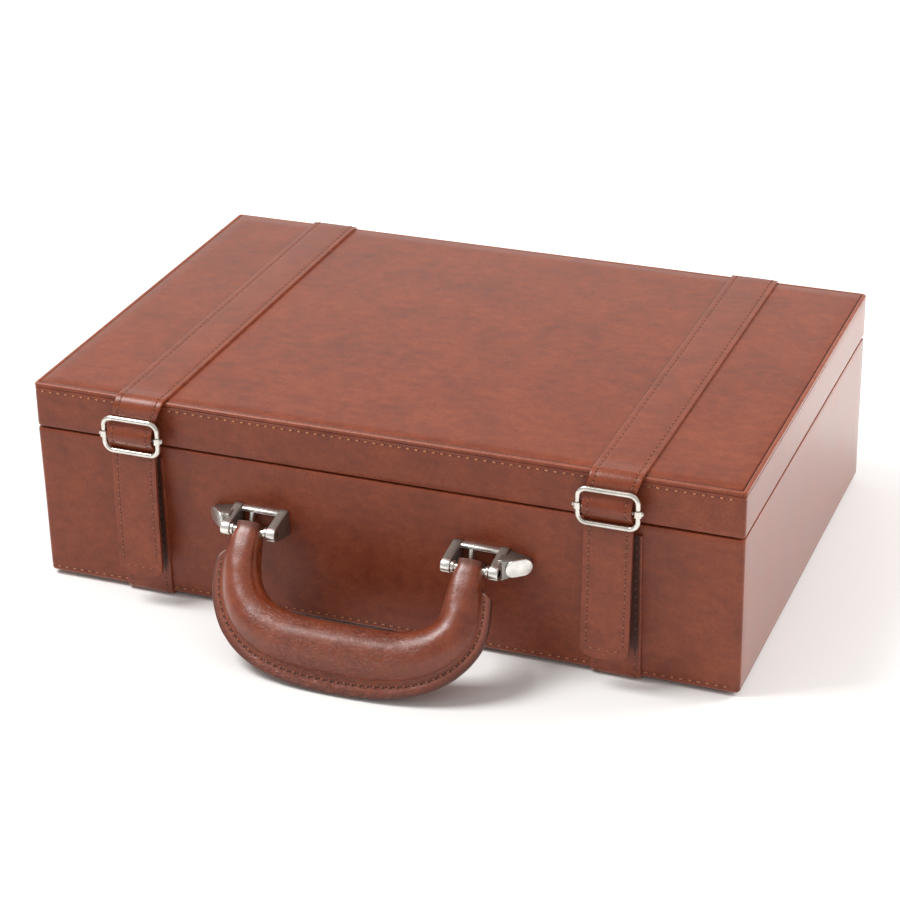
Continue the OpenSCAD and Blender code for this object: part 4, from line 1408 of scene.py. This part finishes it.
# %% [markdown]
# ## Floor, light and camera
# The case stands on a plain pale floor. A large soft light from the upper left makes the long
# highlights on the handle. A second one, behind on the right, lights the floor that the right side
# reflects, and is itself hidden from reflections so that it leaves no hot spot on the lid. The pale
# world fills in the rest. The camera is a long lens, a good way off, so that the box keeps its
# proportions.

# %% Floor and lights
def floor_paint():
    paint = Paint("pale floor", Roughness=0.7)
    paint.set("Base Color", paint.mix(paint.noise(180), (0.90, 0.90, 0.89), (0.94, 0.94, 0.935)))
    return paint.material


floor_bm = bmesh.new()
bmesh.ops.create_grid(floor_bm, x_segments=2, y_segments=2, size=9000)
bmesh.ops.translate(floor_bm, vec=(0, 0, -STRAP_T - 0.15), verts=floor_bm.verts)
bmesh.ops.scale(floor_bm, vec=(MM, MM, MM), verts=floor_bm.verts)
floor_mesh = bpy.data.meshes.new("floor")
floor_bm.to_mesh(floor_mesh)
floor_bm.free()
floor = add_object("floor", floor_mesh)
floor_mesh.materials.append(floor_paint())

world = bpy.data.worlds.new("studio")
world.use_nodes = True
background = world.node_tree.nodes["Background"].inputs
background["Color"].default_value = (1, 0.98, 0.95, 1)
background["Strength"].default_value = 0.64
bpy.context.scene.world = world


def area_light(name, place, aim, size, watts):
    """A square soft light at a place, turned to face a point."""
    light = bpy.data.lights.new(name, "AREA")
    light.size = size
    light.energy = watts
    lamp = add_object(name, light)
    lamp.location = place
    lamp.rotation_euler = (Vector(aim) - Vector(place)).to_track_quat("-Z", "Y").to_euler()
    return lamp


side_light = area_light("side", (1.3, 1.1, 0.9), (0.3, 0.3, 0), 1.1, 33)
side_light.visible_glossy = False
area_light("key", (-1.0, -0.45, 1.7), (0, 0, 0.05), 0.8, 32)

# %% Camera
AZIMUTH, ELEVATION, ROLL = radians(21.65), radians(26.72), radians(-1.23)
DISTANCE = 1.4098
TARGET = Vector((-0.0085, 0, 0.042))
backward = Vector((sin(AZIMUTH) * cos(ELEVATION), -cos(AZIMUTH) * cos(ELEVATION), sin(ELEVATION)))
right = (-backward).cross(Vector((0, 0, 1))).normalized()
up = right.cross(-backward)
rolled_right = cos(ROLL) * right + sin(ROLL) * up
rolled_up = -sin(ROLL) * right + cos(ROLL) * up
camera_data = bpy.data.cameras.new("camera")
camera_data.lens = 103.35
camera_data.sensor_width = 36
camera = add_object("camera", camera_data)
place = TARGET + backward * DISTANCE
camera.matrix_world = Matrix([
    (rolled_right[k], rolled_up[k], backward[k], place[k]) for k in range(3)
] + [(0, 0, 0, 1)])
bpy.context.scene.camera = camera
bpy.context.scene.view_settings.view_transform = "Standard"
print("camera at", [round(c, 3) for c in place])
